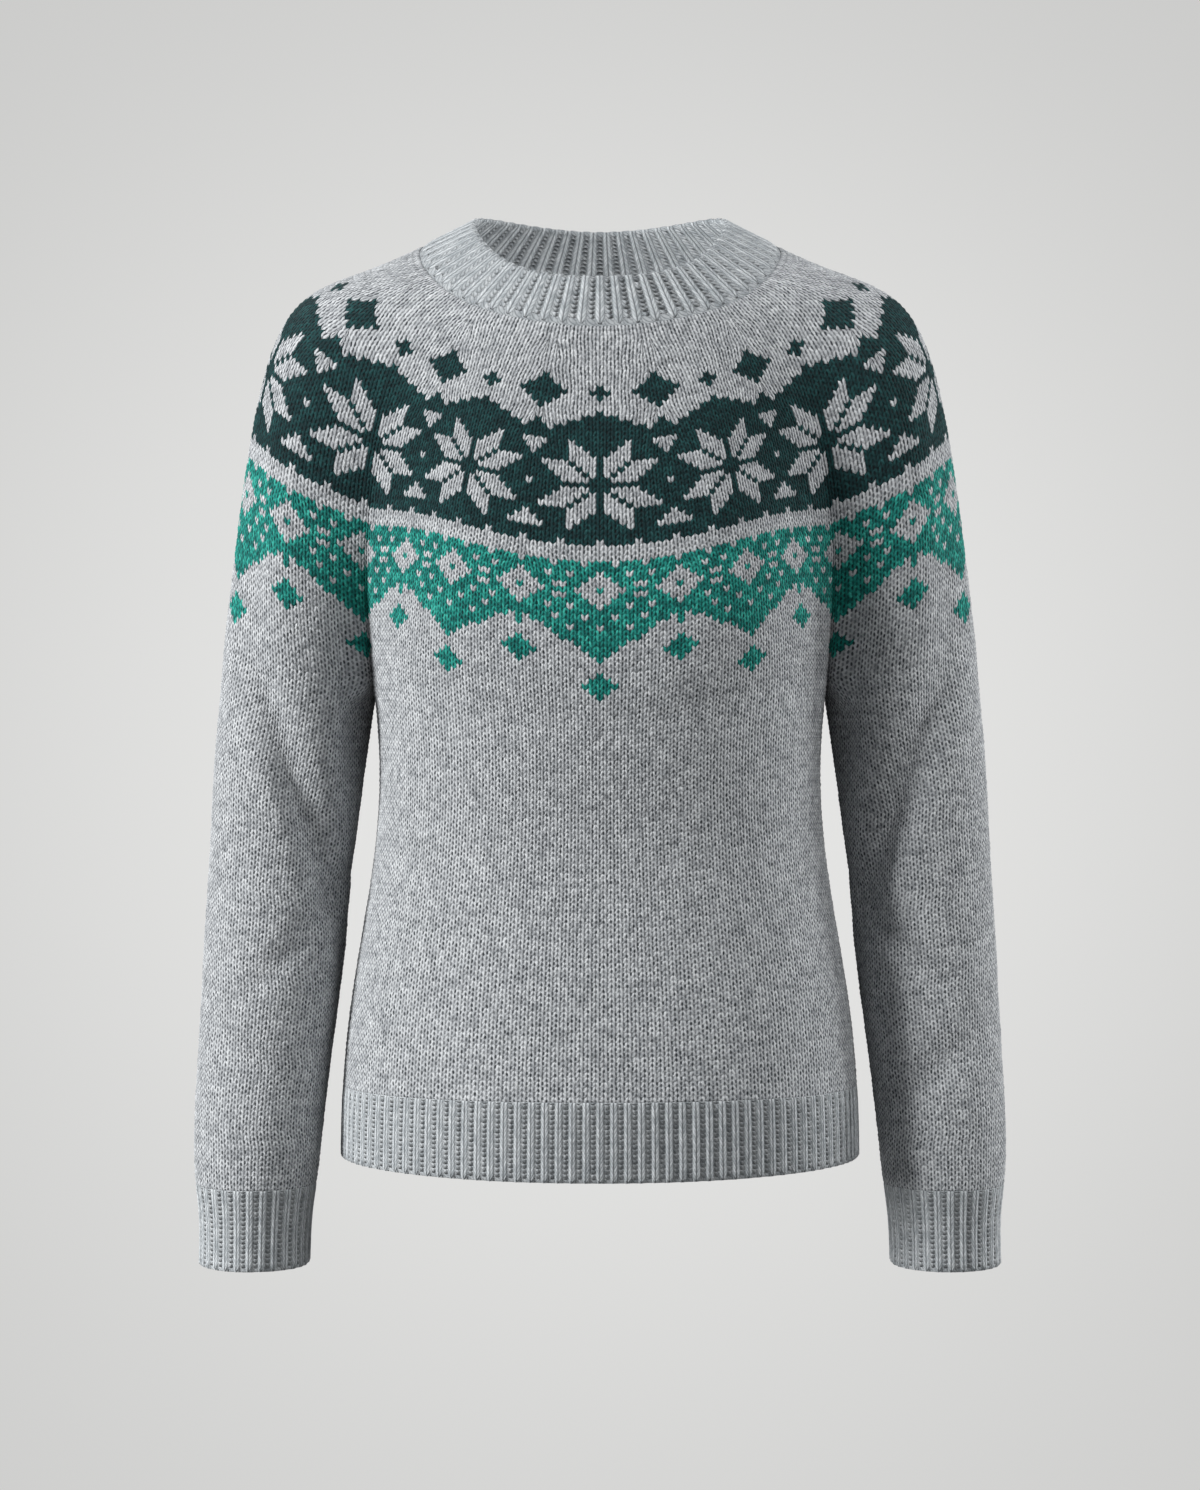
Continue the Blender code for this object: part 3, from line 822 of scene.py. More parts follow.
# %% The four bands
def hem_point(wale, along):
    wale, along = np.broadcast_arrays(wale * BODY_WALES / HEM_WALES, along)
    off_side = np.abs(wale % (BODY_WALES / 2) - BODY_SIDE)
    edge = HEM_Z + RIM_ROUND + HEM_SIDE_RISE * near(off_side, BODY_SIDE)
    return body_point(wale, HEM_SEAM_Z + (edge - HEM_SEAM_Z) * along)


def cuff_point(wale, along):
    wale, along = np.broadcast_arrays(wale * SLEEVE_WALES / CUFF_WALES, along)
    return sleeve_point(wale, CUFF_SEAM_Z + (CUFF_Z + RIM_ROUND - CUFF_SEAM_Z) * along)


def right_cuff_point(wale, along):
    return cuff_point(-wale, along) * MIRROR


def neck_point(wale, along):
    wale, along = np.broadcast_arrays(wale % NECK_WALES, along)
    seam, edge = neck_lines(np.minimum(wale, NECK_WALES - wale) / (NECK_WALES / 2))
    point = seam + (edge - seam) * along[..., None]
    return np.where((wale > NECK_WALES / 2)[..., None], point * MIRROR, point)


hem_path = band_path(HEM_COURSES, HIDDEN_COURSES)
cuff_path = band_path(CUFF_COURSES, HIDDEN_COURSES)
neck_path = band_path(NECK_BAND_COURSES, NECK_BAND_COURSES)
hem_form = band_form("hem form", hem_point, HEM_WALES, hem_path, -1)
neck_form = band_form("neck form", neck_point, NECK_WALES, neck_path, 1, NECK_LIFT, NECK_SUNK)
cuff_forms = {
    "left": band_form("cuff form", cuff_point, CUFF_WALES, cuff_path, -1),
    "right": band_form("cuff form", right_cuff_point, CUFF_WALES, cuff_path, -1),
}
print("wales and courses of the hem's form:", hem_form[1:])

# %% [markdown]
# ## One stitch
# A knit stitch shows as a V: two legs of yarn that climb from the middle of the wale to its
# sides. Each leg is a low roof of four faces here, because a sweater has fifty thousand
# stitches. A purl stitch is the same loop seen from behind, a bar across the wale. The outer
# edges of a stitch are marked sharp, so that light breaks where two strands touch.

# %% The two stitches
def stitch_object(name, points, crest, faces):
    """A stitch as a mesh. Every edge that doesn't touch the crest of a strand is sharp."""
    mesh = bpy.data.meshes.new(name)
    mesh.from_pydata(points + crest, [], faces)
    sharp = mesh.attributes.new("sharp_edge", "BOOLEAN", "EDGE")
    on_crest = set(range(len(points), len(points) + len(crest)))
    for edge in mesh.edges:
        sharp.data[edge.index].value = not on_crest & set(edge.vertices)
    return linked(name, mesh)


knit = stitch_object(
    "knit stitch",
    points=[(0, 0, 0), (0.5, 0, 0), (0.5, 1, 0), (0, 1, 0), (-0.5, 0, 0), (-0.5, 1, 0)],
    crest=[(0.12, 0.5, 1), (0.38, 0.5, 1), (-0.12, 0.5, 1), (-0.38, 0.5, 1)],
    faces=[
        (0, 1, 7, 6), (1, 2, 7), (2, 3, 6, 7), (3, 0, 6),
        (4, 0, 8, 9), (0, 3, 8), (3, 5, 9, 8), (5, 4, 9),
    ],
)  # fmt: skip
purl = stitch_object(
    "purl stitch",
    points=[(-0.5, 0, 0), (0, 0, 0), (0.5, 0, 0), (0.5, 1, 0), (0, 1, 0), (-0.5, 1, 0)],
    crest=[(-0.28, 0.5, 0.2), (0.28, 0.5, 0.2)],
    faces=[(0, 1, 6), (1, 7, 6), (1, 2, 7), (2, 3, 7), (3, 4, 7), (4, 6, 7), (4, 5, 6), (5, 0, 6)],
)
print("faces of a knit stitch:", len(knit.data.polygons))

# %% [markdown]
# ## The knitting machine
# A Geometry Nodes tree does the knitting. It puts a stitch on every point of a chart, adds a plain
# inner face behind them, and wraps both over the form. A tree of a hundred nodes is easier to read
# as code than as a drawing, if each node takes one short call, so a few helpers come first. The
# class Number lets a formula be written as a formula: every step of it adds a Math node.

# %% Adding nodes
def add(tree, kind, *values, **settings):
    """A node with its settings, and with values or links for its sockets in order."""
    node = tree.nodes.new(kind)
    for name, value in settings.items():
        setattr(node, name, value)
    for socket, value in zip([s for s in node.inputs if s.enabled], values):
        if isinstance(value, bpy.types.Node):
            value = next(s for s in value.outputs if s.enabled)
        if isinstance(value, Number):
            value = value.socket
        if isinstance(value, bpy.types.NodeSocket):
            tree.links.new(value, socket)
        elif value is not None:
            socket.default_value = value
    return node


def number(tree, kind, *values, **settings):
    """The first output of a new node, to be reckoned with."""
    node = add(tree, kind, *values, **settings)
    return Number(tree, next(s for s in node.outputs if s.enabled))


def maths(tree, operation, *values, **settings):
    return number(tree, "ShaderNodeMath", *values, operation=operation, **settings)


class Number:
    def __init__(self, tree, socket):
        self.tree = tree
        self.socket = socket

    def step(self, operation, *values):
        return maths(self.tree, operation, self, *values)

    def __add__(self, other):
        return self.step("ADD", other)

    def __sub__(self, other):
        return self.step("SUBTRACT", other)

    def __rsub__(self, other):
        return maths(self.tree, "SUBTRACT", other, self)

    def __mul__(self, other):
        return self.step("MULTIPLY", other)

    def __truediv__(self, other):
        return self.step("DIVIDE", other)

    def __pow__(self, other):
        return self.step("POWER", other)

    def __gt__(self, other):
        return self.step("GREATER_THAN", other)

    def __lt__(self, other):
        return self.step("LESS_THAN", other)

    def __abs__(self):
        return self.step("ABSOLUTE")

    def times_plus(self, factor, term):
        return self.step("MULTIPLY_ADD", factor, term)

    def most(self, other):
        return self.step("MAXIMUM", other)


# %% Helpers for both kinds of tree
def vector_maths(tree, operation, *values):
    return add(tree, "ShaderNodeVectorMath", *values, operation=operation)


def split(tree, vector):
    return [Number(tree, s) for s in add(tree, "ShaderNodeSeparateXYZ", vector).outputs]


def joined(tree, *values):
    return add(tree, "ShaderNodeCombineXYZ", *values)


def ranged(tree, value, low, high, to_low=0.0, to_high=1.0, kind="SMOOTHSTEP"):
    values = value, low, high, to_low, to_high
    return number(tree, "ShaderNodeMapRange", *values, interpolation_type=kind)


def sockets(kind, *names):
    return [(name, "NodeSocket" + kind) for name in names]


def node_group(name, kind, inputs, outputs):
    """An empty group with its sockets, and the inputs by their names."""
    group = bpy.data.node_groups.new(name, kind)
    for in_out, wanted in (("INPUT", inputs), ("OUTPUT", outputs)):
        for label, socket in wanted:
            group.interface.new_socket(label, in_out=in_out, socket_type=socket)
    return group, {s.name: Number(group, s) for s in add(group, "NodeGroupInput").outputs}


# %% Helpers for Geometry Nodes
def stored(tree, geometry, name, value, data_type, domain):
    kind = "GeometryNodeStoreNamedAttribute"
    return add(tree, kind, geometry, None, name, value, data_type=data_type, domain=domain)


def named(tree, name, data_type):
    return add(tree, "GeometryNodeInputNamedAttribute", name, data_type=data_type)


def together(tree, *parts):
    both = add(tree, "GeometryNodeJoinGeometry")
    for part in parts:
        tree.links.new(part.outputs[0], both.inputs[0])
    return both


# %% [markdown]
# First the stitches are laid flat, each on its square of the chart. Their outer corners touch, so
# a merge joins them to one cloth. The UV map "Knit" keeps the place in the chart, in stitches,
# because the yarn's material draws its strands with it. The map "OFBake" is the same cloth laid
# into one square, with room above it for the inner face.

# %% Stitches, laid flat
FINISHES = ("Grey", "Dark green", "Teal", "Inside")
GREY, DARK_GREEN, TEAL, INSIDE = range(4)
FLAT_MERGE = 0.01  # of a stitch
OUTER_SHARE = 0.8  # of the height of the map OFBake
INNER_START, INNER_SHARE = 0.81, 0.19


def flat_stitches(tree, given, place, length):
    is_purl = named(tree, "purl", "BOOLEAN")
    is_knit = add(tree, "FunctionNodeBooleanMath", is_purl, operation="NOT")
    kinds = []
    for name, selection in (("Knit stitch", is_knit), ("Purl stitch", is_purl)):
        shape = add(tree, "GeometryNodeObjectInfo", given[name]).outputs["Geometry"]
        kinds.append(add(tree, "GeometryNodeInstanceOnPoints", given["Chart"], selection, shape))
    flat = add(tree, "GeometryNodeRealizeInstances", together(tree, *kinds))
    flat = stored(tree, flat, "colour", named(tree, "yarn", "INT"), "INT", "FACE")
    flat = stored(tree, flat, "valley", is_purl, "FLOAT", "FACE")
    flat = add(tree, "GeometryNodeMergeByDistance", flat, True, FLAT_MERGE)
    across = (place[0] + 0.5) / given["Wales"]
    up = (place[1] - given["First course"]) / length
    flat = stored(tree, flat, "Knit", joined(tree, place[0], place[1]), "FLOAT2", "CORNER")
    unwrapped = joined(tree, across, up * OUTER_SHARE)
    return stored(tree, flat, "OFBake", unwrapped, "FLOAT2", "CORNER")


print("places for a material:", ", ".join(FINISHES))


# %% [markdown]
# The inner face is a plain, coarse grid, because nobody counts stitches on the inside. Its first
# and last rows lie on the edges of the stitches, and the rows between them lie behind, one wall's
# thickness deep. A band needs no rows between, because its stitches run round the edge and down
# the inside too, and there the two rows only close the seam.

# %% The inner face
def inner_face(tree, given, length):
    lining_rows = given["Lining rows"]
    rows = lining_rows + 2.0
    columns = given["Wales"].times_plus(2.0, 1.0)
    grid = add(tree, "GeometryNodeMeshGrid", 1.0, 1.0, columns, rows)
    cell = split(tree, grid.outputs["UV Map"])
    row = cell[1] * (rows - 1.0)
    first, last = lining_rows.step("MINIMUM", 1.0), lining_rows.most(1.0)
    down = ranged(tree, row, first, last, kind="LINEAR")
    course = given["Last course"] - down * length
    wale = cell[0] * given["Wales"] - 0.5
    behind = (row > 0.5) * (row < lining_rows + 0.5)
    depth = behind * given["Wall"] / given["Rise"]
    up = cell[1].times_plus(INNER_SHARE, INNER_START)
    lining = stored(tree, grid, "Knit", joined(tree, wale, course), "FLOAT2", "CORNER")
    lining = stored(tree, lining, "OFBake", joined(tree, cell[0], up), "FLOAT2", "CORNER")
    lining = stored(tree, lining, "colour", INSIDE, "INT", "FACE")
    sunk = joined(tree, wale, course, depth * -1.0)
    return add(tree, "GeometryNodeSetPosition", lining, True, sunk)


# %% [markdown]
# Last, the flat cloth is wrapped over the form. Each point is looked up in the form's UV map,
# which gives its place and the way out of the cloth. A point at the side of a stitch is looked up
# a little higher than one in the middle, and so every pair of legs becomes a V.

# %% The wrap
SHELL_MERGE = 0.02 * MM
NOISE_SCALE = 260.0  # wobbles of the yarn in a metre


def looked_up(tree, given, column, course, name, data_type):
    """What the form's attribute of that name says at a wale and a course of the chart."""
    u = (column + (0.5 + MARGIN_WALES)) / (given["Wales"] + 2.0 * MARGIN_WALES)
    v = (course + float(MARGIN_COURSES)) / (given["Form courses"] + 2.0 * MARGIN_COURSES)
    form = add(tree, "GeometryNodeObjectInfo", given["Form"]).outputs["Geometry"]
    values = form, named(tree, name, data_type), named(tree, "form", "FLOAT_VECTOR"), joined(tree, u, v)
    return number(tree, "GeometryNodeSampleUVSurface", *values, data_type=data_type)


def wrapped(tree, given, cloth, place):
    side = abs(place[0] - place[0].step("ROUND")).times_plus(2.0, -0.5)
    on_stitches = place[2] > -0.5
    lean = looked_up(tree, given, place[0], place[1], "lean", "FLOAT") * on_stitches
    leant = side.times_plus(lean, place[1])
    where = looked_up(tree, given, place[0], leant, "position", "FLOAT_VECTOR")
    out = looked_up(tree, given, place[0], leant, "out", "FLOAT_VECTOR")
    noise = add(tree, "ShaderNodeTexNoise", where, NOISE_SCALE, 1.0, noise_dimensions="3D")
    wobble = vector_maths(tree, "SUBTRACT", noise.outputs["Color"], (0.5, 0.5, 0.5))
    wobble = vector_maths(tree, "SCALE", wobble, given["Unevenness"])
    offset = vector_maths(tree, "SCALE", out, place[2] * given["Rise"])
    moved = vector_maths(tree, "ADD", vector_maths(tree, "ADD", where, offset), wobble)
    return add(tree, "GeometryNodeSetPosition", cloth, True, moved)


# %% [markdown]
# The whole tree has an input for everything that changes from piece to piece. A last merge closes
# the tube and joins its two faces round the edges, so that the result is one closed shell.

# %% The knitting tree
KNITTING_INPUTS = (
    *sockets("Geometry", "Chart"),
    *sockets("Object", "Form", "Knit stitch", "Purl stitch"),
    *sockets("Int", "Wales"),
    *sockets("Float", "Form courses", "First course", "Last course"),
    *sockets("Int", "Lining rows"),
    *sockets("Float", "Rise", "Wall", "Unevenness"),
    *sockets("Material", *FINISHES),
)


def knitting_tree():
    outputs = sockets("Geometry", "Knitting")
    tree, given = node_group("knitting", "GeometryNodeTree", KNITTING_INPUTS, outputs)
    tree.is_modifier = True
    place = split(tree, add(tree, "GeometryNodeInputPosition"))
    length = given["Last course"] - given["First course"]
    outer = flat_stitches(tree, given, place, length)
    cloth = together(tree, outer, inner_face(tree, given, length))
    shell = wrapped(tree, given, cloth, place)
    shell = add(tree, "GeometryNodeMergeByDistance", shell, True, SHELL_MERGE)
    shell = add(tree, "GeometryNodeSetShadeSmooth", shell, True, True)
    colour = named(tree, "colour", "INT")
    for index, name in enumerate(FINISHES):
        test = {"data_type": "INT", "operation": "EQUAL"}
        is_this = add(tree, "FunctionNodeCompare", colour, index, **test)
        shell = add(tree, "GeometryNodeSetMaterial", shell, is_this, given[name])
    add(tree, "NodeGroupOutput", add(tree, "GeometryNodeRealizeInstances", shell))
    return tree


knitting = knitting_tree()
print("nodes in the knitting tree:", len(knitting.nodes))


# %% [markdown]
# ## Charts
# A chart is a knitter's drawing: one square for each stitch. As a mesh it is a cloud of points,
# each with two attributes, whether it is a purl and which yarn it takes.

# %% From a chart to a finished piece
STITCH_RISE = 0.5 * MM  # how far the crest of a strand stands out
UNEVENNESS = 1.4 * MM  # how far the yarn wanders
IDENTIFIERS = {
    item.name: item.identifier for item in knitting.interface.items_tree if item.in_out == "INPUT"
}


def squares(wales, courses):
    """Every wale and course of a plain chart, as two lists of whole numbers."""
    wale, course = np.meshgrid(np.arange(wales), courses)
    return wale.ravel(), course.ravel()


def chart_object(wale, course, is_purl=False, yarn=GREY):
    """One point for each stitch. The kind and the yarn may be one value for all of them."""
    mesh = new_mesh("chart", np.stack([wale, course, 0 * wale], -1).astype(float))
    for name, kind, value in (("purl", "BOOLEAN", is_purl), ("yarn", "INT", yarn)):
        values = np.broadcast_to(value, wale.shape).tolist()
        mesh.attributes.new(name, kind, "POINT").data.foreach_set("value", values)
    return linked("chart", mesh)


def keep_used_finishes(mesh):
    """Drops the empty and unused material slots."""
    number = np.empty(len(mesh.polygons), np.int32)
    mesh.polygons.foreach_get("material_index", number)
    used, number = np.unique(number, return_inverse=True)
    finishes = [mesh.materials[n] for n in used]
    mesh.materials.clear()
    for finish in finishes:
        mesh.materials.append(finish)
    mesh.polygons.foreach_set("material_index", number.ravel().astype(np.int32))


def knitted(name, chart, form, span, lining_rows, finishes, rise=STITCH_RISE, unevenness=UNEVENNESS):
    """Runs the tree on a chart, and turns the result into a plain mesh."""
    maker = chart.modifiers.new("knitting", "NODES")
    maker.node_group = knitting
    values = {
        "Form": form.shape,
        "Knit stitch": knit,
        "Purl stitch": purl,
        "Wales": form.wales,
        "Form courses": float(form.courses),
        "First course": float(span[0]),
        "Last course": float(span[1]),
        "Lining rows": lining_rows,
        "Rise": rise,
        "Wall": WALL,
        "Unevenness": unevenness,
        **finishes,
    }
    for label, value in values.items():
        maker[IDENTIFIERS[label]] = value
    bpy.context.view_layer.update()
    evaluated = chart.evaluated_get(bpy.context.evaluated_depsgraph_get())
    mesh = bpy.data.meshes.new_from_object(evaluated)
    mesh.name = name
    bpy.data.objects.remove(chart)
    keep_used_finishes(mesh)
    piece = linked(name, mesh)
    print(f"{name}: {len(mesh.polygons)} faces, {len(mesh.materials)} finishes")
    return piece


# %% [markdown]
# ## Yarn
# Heathered yarn is spun from dyed and undyed wool together, so no two centimetres are the same
# grey. The colour is built in three sizes: soft patches a few stitches wide, a different tone for
# each stitch, and fine fibres along the strand. Over that, the shade in the holes between the
# strands is painted into the colour, darker. All of it is in two node groups that every yarn
# shares, so a new colour is one new row of numbers.

# %% A mix of two colours or two numbers
def mixed(tree, factor, a, b, kind="RGBA"):
    """a where the factor is 0, b where it is 1. The kind FLOAT mixes plain numbers."""
    return add(tree, "ShaderNodeMix", factor, a, b, data_type=kind)


# %% [markdown]
# The relief group reads where in its stitch a point lies. It rounds each strand, twists two
# plies into it, and marks where shade is painted: the long holes between the legs of a V and
# between two wales are painted darker, as shade falls in them. A rib has painted shade in other
# hollows: the grooves beside its two cords, and the gaps between fine bars on the purl wale
# between two ribs.

# %% The painted shade in the hollows of a stitch
GROOVE_SHADE = 0.12  # how dark the painted shade in the groove between two strands is
# painted shade in the grooves between the strands of a rib
RIB_GROOVE_SHADE = 0.9
BARS_UP, BARS_ASIDE = 2.0, 1.6  # bars in a purl stitch, and their slant
# painted shade in the gaps between the bars of a purl stitch
BAR_GAP_SHADE = 0.4


def painted_hole_shade(group, given, column, from_side, level):
    """An upright oval of painted shade at the end of a leg, on every whole level, and no two quite
    alike.
    """
    whole = level.step("ROUND")
    wide = (from_side / given["Hole width"]) ** 2.0
    high = (abs(level - whole) / given["Hole height"]) ** 2.0
    shape = ranged(group, wide + high, 0.15, 1.0, 1.0, 0.0)
    own = number(group, "ShaderNodeTexWhiteNoise", joined(group, column, whole, 0.0))
    return shape * own.times_plus(0.5, 0.5)


def rib_painted_shade(group, across, edge):
    """In a rib the legs are drawn tight, to two smooth cords side by side, with shade painted between
    and beside them.
    """
    between = ranged(group, across, 0.0, 0.34, 0.75, 0.0)
    beside = ranged(group, across, 0.74, 1.0, 0.0, 0.5)
    return between.most(beside).most(edge * RIB_GROOVE_SHADE)


def purl_painted_shade(group, given, aside, across, up):
    """The purl wale between two ribs shows fine slanting bars, with shade painted in the gaps between
    them, towards the wale's sides, and evenly over it by the valley shade.
    """
    bars = up.times_plus(BARS_UP, aside * BARS_ASIDE).step("FRACT")
    bar = ranged(group, abs(bars - 0.5), 0.2, 0.5)
    deep = ranged(group, across, 0.75, 1.0, 0.0, 0.2)
    return (bar * BAR_GAP_SHADE).most(deep) + given["Valley"]


print("bars in a purl stitch:", BARS_UP)

# %% Group: strand relief
TWIST_UP, TWIST_ASIDE = 0.9, 2.2  # turns of the ply in a course, and in half a wale


def strand_relief():
    group, given = node_group(
        "strand relief",
        "ShaderNodeTree",
        sockets("Float", "Ply", "Lean", "Rib", "Valley", "Hole width", "Hole height"),
        sockets("Float", "Height", "Hollow") + sockets("Vector", "Stitch"),
    )
    uv = split(group, add(group, "ShaderNodeUVMap", uv_map="Knit"))
    purl_here = add(group, "ShaderNodeAttribute", attribute_name="valley").outputs["Fac"]
    nearest = uv[0].step("ROUND")
    aside = uv[0] - nearest
    across = abs(aside) * 2.0
    up = uv[1].step("FRACT")

    # The strand's round back, and its twist.
    centred = up.times_plus(2.0, -1.0)
    strand = (1.0 - centred * centred).most(0.0).step("SQRT")
    end = ranged(group, 0.5 - abs(across - 0.5), 0.0, 0.25)
    twist = up.times_plus(TWIST_UP, across * TWIST_ASIDE)
    ply = (twist * (2 * math.pi)).step("SINE") * given["Ply"]

    # Shade is painted into the holes at both ends of a leg, a course apart, and into the groove all
    # along it.
    inner_hole_shade = painted_hole_shade(group, given, nearest, across, across.times_plus(given["Lean"], uv[1]))
    boundary = aside.step("SIGN").times_plus(0.5, nearest)
    from_boundary = 1.0 - across
    level = from_boundary.times_plus(given["Lean"] * -1.0, uv[1])
    outer_hole_shade = painted_hole_shade(group, given, boundary, from_boundary, level)
    edge = ranged(group, strand, 0.0, 0.75, 1.0, 0.0)
    plain = inner_hole_shade.most(outer_hole_shade).most(edge * GROOVE_SHADE)
    # The painted shade, for knit, rib and purl stitches alike.
    in_knit = mixed(group, given["Rib"], plain, rib_painted_shade(group, across, edge), "FLOAT")
    in_purl = purl_painted_shade(group, given, aside, across, up)
    painted_shade = mixed(group, purl_here, in_knit, in_purl, "FLOAT")
    height = strand * mixed(group, given["Rib"], end, 0.3, "FLOAT") + ply - painted_shade
    stitch = joined(group, nearest, uv[1].step("FLOOR"), aside.step("SIGN"))
    add(group, "NodeGroupOutput", height, painted_shade, stitch)
    return group


RELIEF = strand_relief()
print("sockets of the relief:", [item.name for item in RELIEF.interface.items_tree])


# %% [markdown]
# The wool group takes four colours. It shifts between the first three by noise of the three sizes,
# and towards the fourth, the colour of painted shade, where the relief marks holes and grooves. The
# patches are flatter than they are wide, because a length of one tone is knitted along a course.

# %% Group: heathered wool
PATCH_SCALE, PATCH_FLATNESS = 70.0, 3.2
FIBRE_SCALE, FIBRE_TONE = 2600.0, 0.3


def heathered_wool():
    group, given = node_group(
        "heathered wool",
        "ShaderNodeTree",
        sockets("Color", "Main", "Light", "Dark", "Hole")
        + sockets("Float", "Patches", "Stitches")
        + sockets("Vector", "Stitch")
        + sockets("Float", "Hollow"),
        sockets("Color", "Colour") + sockets("Float", "Fibre"),
    )
    place = add(group, "ShaderNodeTexCoord").outputs["Object"]
    along_rows = vector_maths(group, "MULTIPLY", place, (1.0, 1.0, PATCH_FLATNESS))
    patches = add(group, "ShaderNodeTexNoise", along_rows, PATCH_SCALE, 4.0, 0.65)
    patch = ranged(group, patches, 0.3, 0.7, -1.0, 1.0, "LINEAR") * given["Patches"]
    each = number(group, "ShaderNodeTexWhiteNoise", given["Stitch"], noise_dimensions="3D") - 0.5
    fibres = add(group, "ShaderNodeTexNoise", place, FIBRE_SCALE, 3.0, 0.7)
    fine = ranged(group, fibres, 0.3, 0.7, -FIBRE_TONE, FIBRE_TONE, "LINEAR")
    tone = each.times_plus(given["Stitches"], patch) + fine
    lighter = maths(group, "MAXIMUM", tone, 0.0, use_clamp=True)
    darker = maths(group, "MULTIPLY", tone.step("MINIMUM", 0.0), -1.0, use_clamp=True)
    found = mixed(group, lighter, given["Main"], given["Light"])
    found = mixed(group, darker, found, given["Dark"])
    # Painted shade: darker towards the shade colour wherever the relief marks a hole or groove.
    found = mixed(group, given["Hollow"], found, given["Hole"])
    add(group, "NodeGroupOutput", found, fibres)
    return group


WOOL = heathered_wool()
print("sockets of the wool:", [item.name for item in WOOL.interface.items_tree])


# %% [markdown]
# With both groups in place a yarn is one row of numbers. The colours are given as painters give
# them, from 0 to 255, and the last of the four is the painted shade in the holes. The grey of the
# upper yoke is the same yarn, drawn narrower and taller by the neck, so its holes are too. In the
# bands the ribs draw the yarn tight. The bands' grey is the same yarn again, but painted lighter
# in the ribs of the hem and cuffs, to make up for the shade in their deep valleys, and less light
# in the neckband, because it faces up into the key light.

# %% The yarns
class Yarn(NamedTuple):
    name: str
    main: tuple
    light: tuple
    dark: tuple
    # the colour of the shade painted into the holes
    painted_hole_shade: tuple
    patches: float  # how strong the patches of tone are
    stitches: float  # and how much one stitch differs from the next
    rib: float = 0.0  # 1 where the legs are drawn tight
    valley: float = 0.0  # how much shade is painted over the purl wales
    hole_width: float = 0.40  # of half a wale
    hole_height: float = 0.50  # of a course


# The fourth colour of each yarn is the painted shade in its holes.
HEATHER = (181, 184, 187), (217, 220, 222), (120, 124, 128), (56, 60, 64)
# The ribs' grey is painted lighter than the plain grey, to make up for the shade in their deep valleys.
RIB_GREY_PAINTED_LIGHTER = (190, 195, 198), (220, 224, 226), (142, 149, 153), (56, 60, 64)
# The neckband's grey is painted darker than the ribs', because the neckband faces up into the key
# light.
NECKBAND_GREY_PAINTED_DARKER = (182, 187, 190), (212, 216, 218), (138, 145, 149), (56, 60, 64)
LINING = (172, 176, 179), (200, 203, 206), (128, 132, 137), (56, 60, 64)
PINE = (15, 50, 52), (32, 78, 78), (8, 30, 33), (4, 15, 18)
SEA = (24, 128, 118), (62, 176, 160), (12, 84, 80), (6, 44, 45)
YARNS = (
    Yarn("grey yarn", *HEATHER, patches=0.38, stitches=0.85),
    Yarn("stretched grey yarn", *HEATHER, 0.38, 0.85, hole_width=0.36, hole_height=0.66),
    Yarn("dark green yarn", *PINE, patches=0.5, stitches=0.9),
    Yarn("teal yarn", *SEA, patches=0.6, stitches=1.3),
    Yarn("rib yarn", *RIB_GREY_PAINTED_LIGHTER, patches=0.35, stitches=0.9, rib=1.0),
    Yarn("neckband yarn", *NECKBAND_GREY_PAINTED_DARKER, patches=0.35, stitches=0.9, rib=1.0, valley=0.24),
    Yarn("inside of the knitting", *LINING, patches=0.5, stitches=0.6),
)
PLY_DEPTH = 0.12
FIBRE_DEPTH = 0.35
BUMP_DEPTH = 0.8 * MM


def srgb(colour):
    """A colour as painters give it, in the linear values that Blender mixes, with its alpha."""
    return (*(((c / 255 + 0.055) / 1.055) ** 2.4 if c > 10 else c / 3295 for c in colour), 1.0)


def yarn_material(yarn):
    material = bpy.data.materials.new(yarn.name)
    material.use_nodes = True
    tree = material.node_tree
    shader = tree.nodes["Principled BSDF"]
    shader.inputs["Roughness"].default_value = 0.9
    shader.inputs["Sheen Weight"].default_value = 0.08
    shader.inputs["Sheen Roughness"].default_value = 0.5
    shader.inputs["Specular IOR Level"].default_value = 0.2
    sizes = yarn.rib, yarn.valley, yarn.hole_width, yarn.hole_height
    relief = add(tree, "ShaderNodeGroup", PLY_DEPTH, LEAN, *sizes, node_tree=RELIEF)
    # The yarn's three tones, and the colour of its painted shade.
    colours = [srgb(colour) for colour in (yarn.main, yarn.light, yarn.dark, yarn.painted_hole_shade)]
    tones = yarn.patches, yarn.stitches
    from_relief = relief.outputs["Stitch"], relief.outputs["Hollow"]
    wool = add(tree, "ShaderNodeGroup", *colours, *tones, *from_relief, node_tree=WOOL)
    tree.links.new(wool.outputs["Colour"], shader.inputs["Base Color"])
    fibre = Number(tree, wool.outputs["Fibre"])
    height = fibre.times_plus(FIBRE_DEPTH, relief.outputs["Height"])
    bump = tree.nodes.new("ShaderNodeBump")
    bump.inputs["Strength"].default_value = 0.3
    bump.inputs["Distance"].default_value = BUMP_DEPTH
    tree.links.new(height.socket, bump.inputs["Height"])
    tree.links.new(bump.outputs["Normal"], shader.inputs["Normal"])
    return material


materials = {yarn.name: yarn_material(yarn) for yarn in YARNS}
print("yarns:", ", ".join(materials))

# %% [markdown]
# The tree has four places for a material, and each kind of piece fills them in its own way.

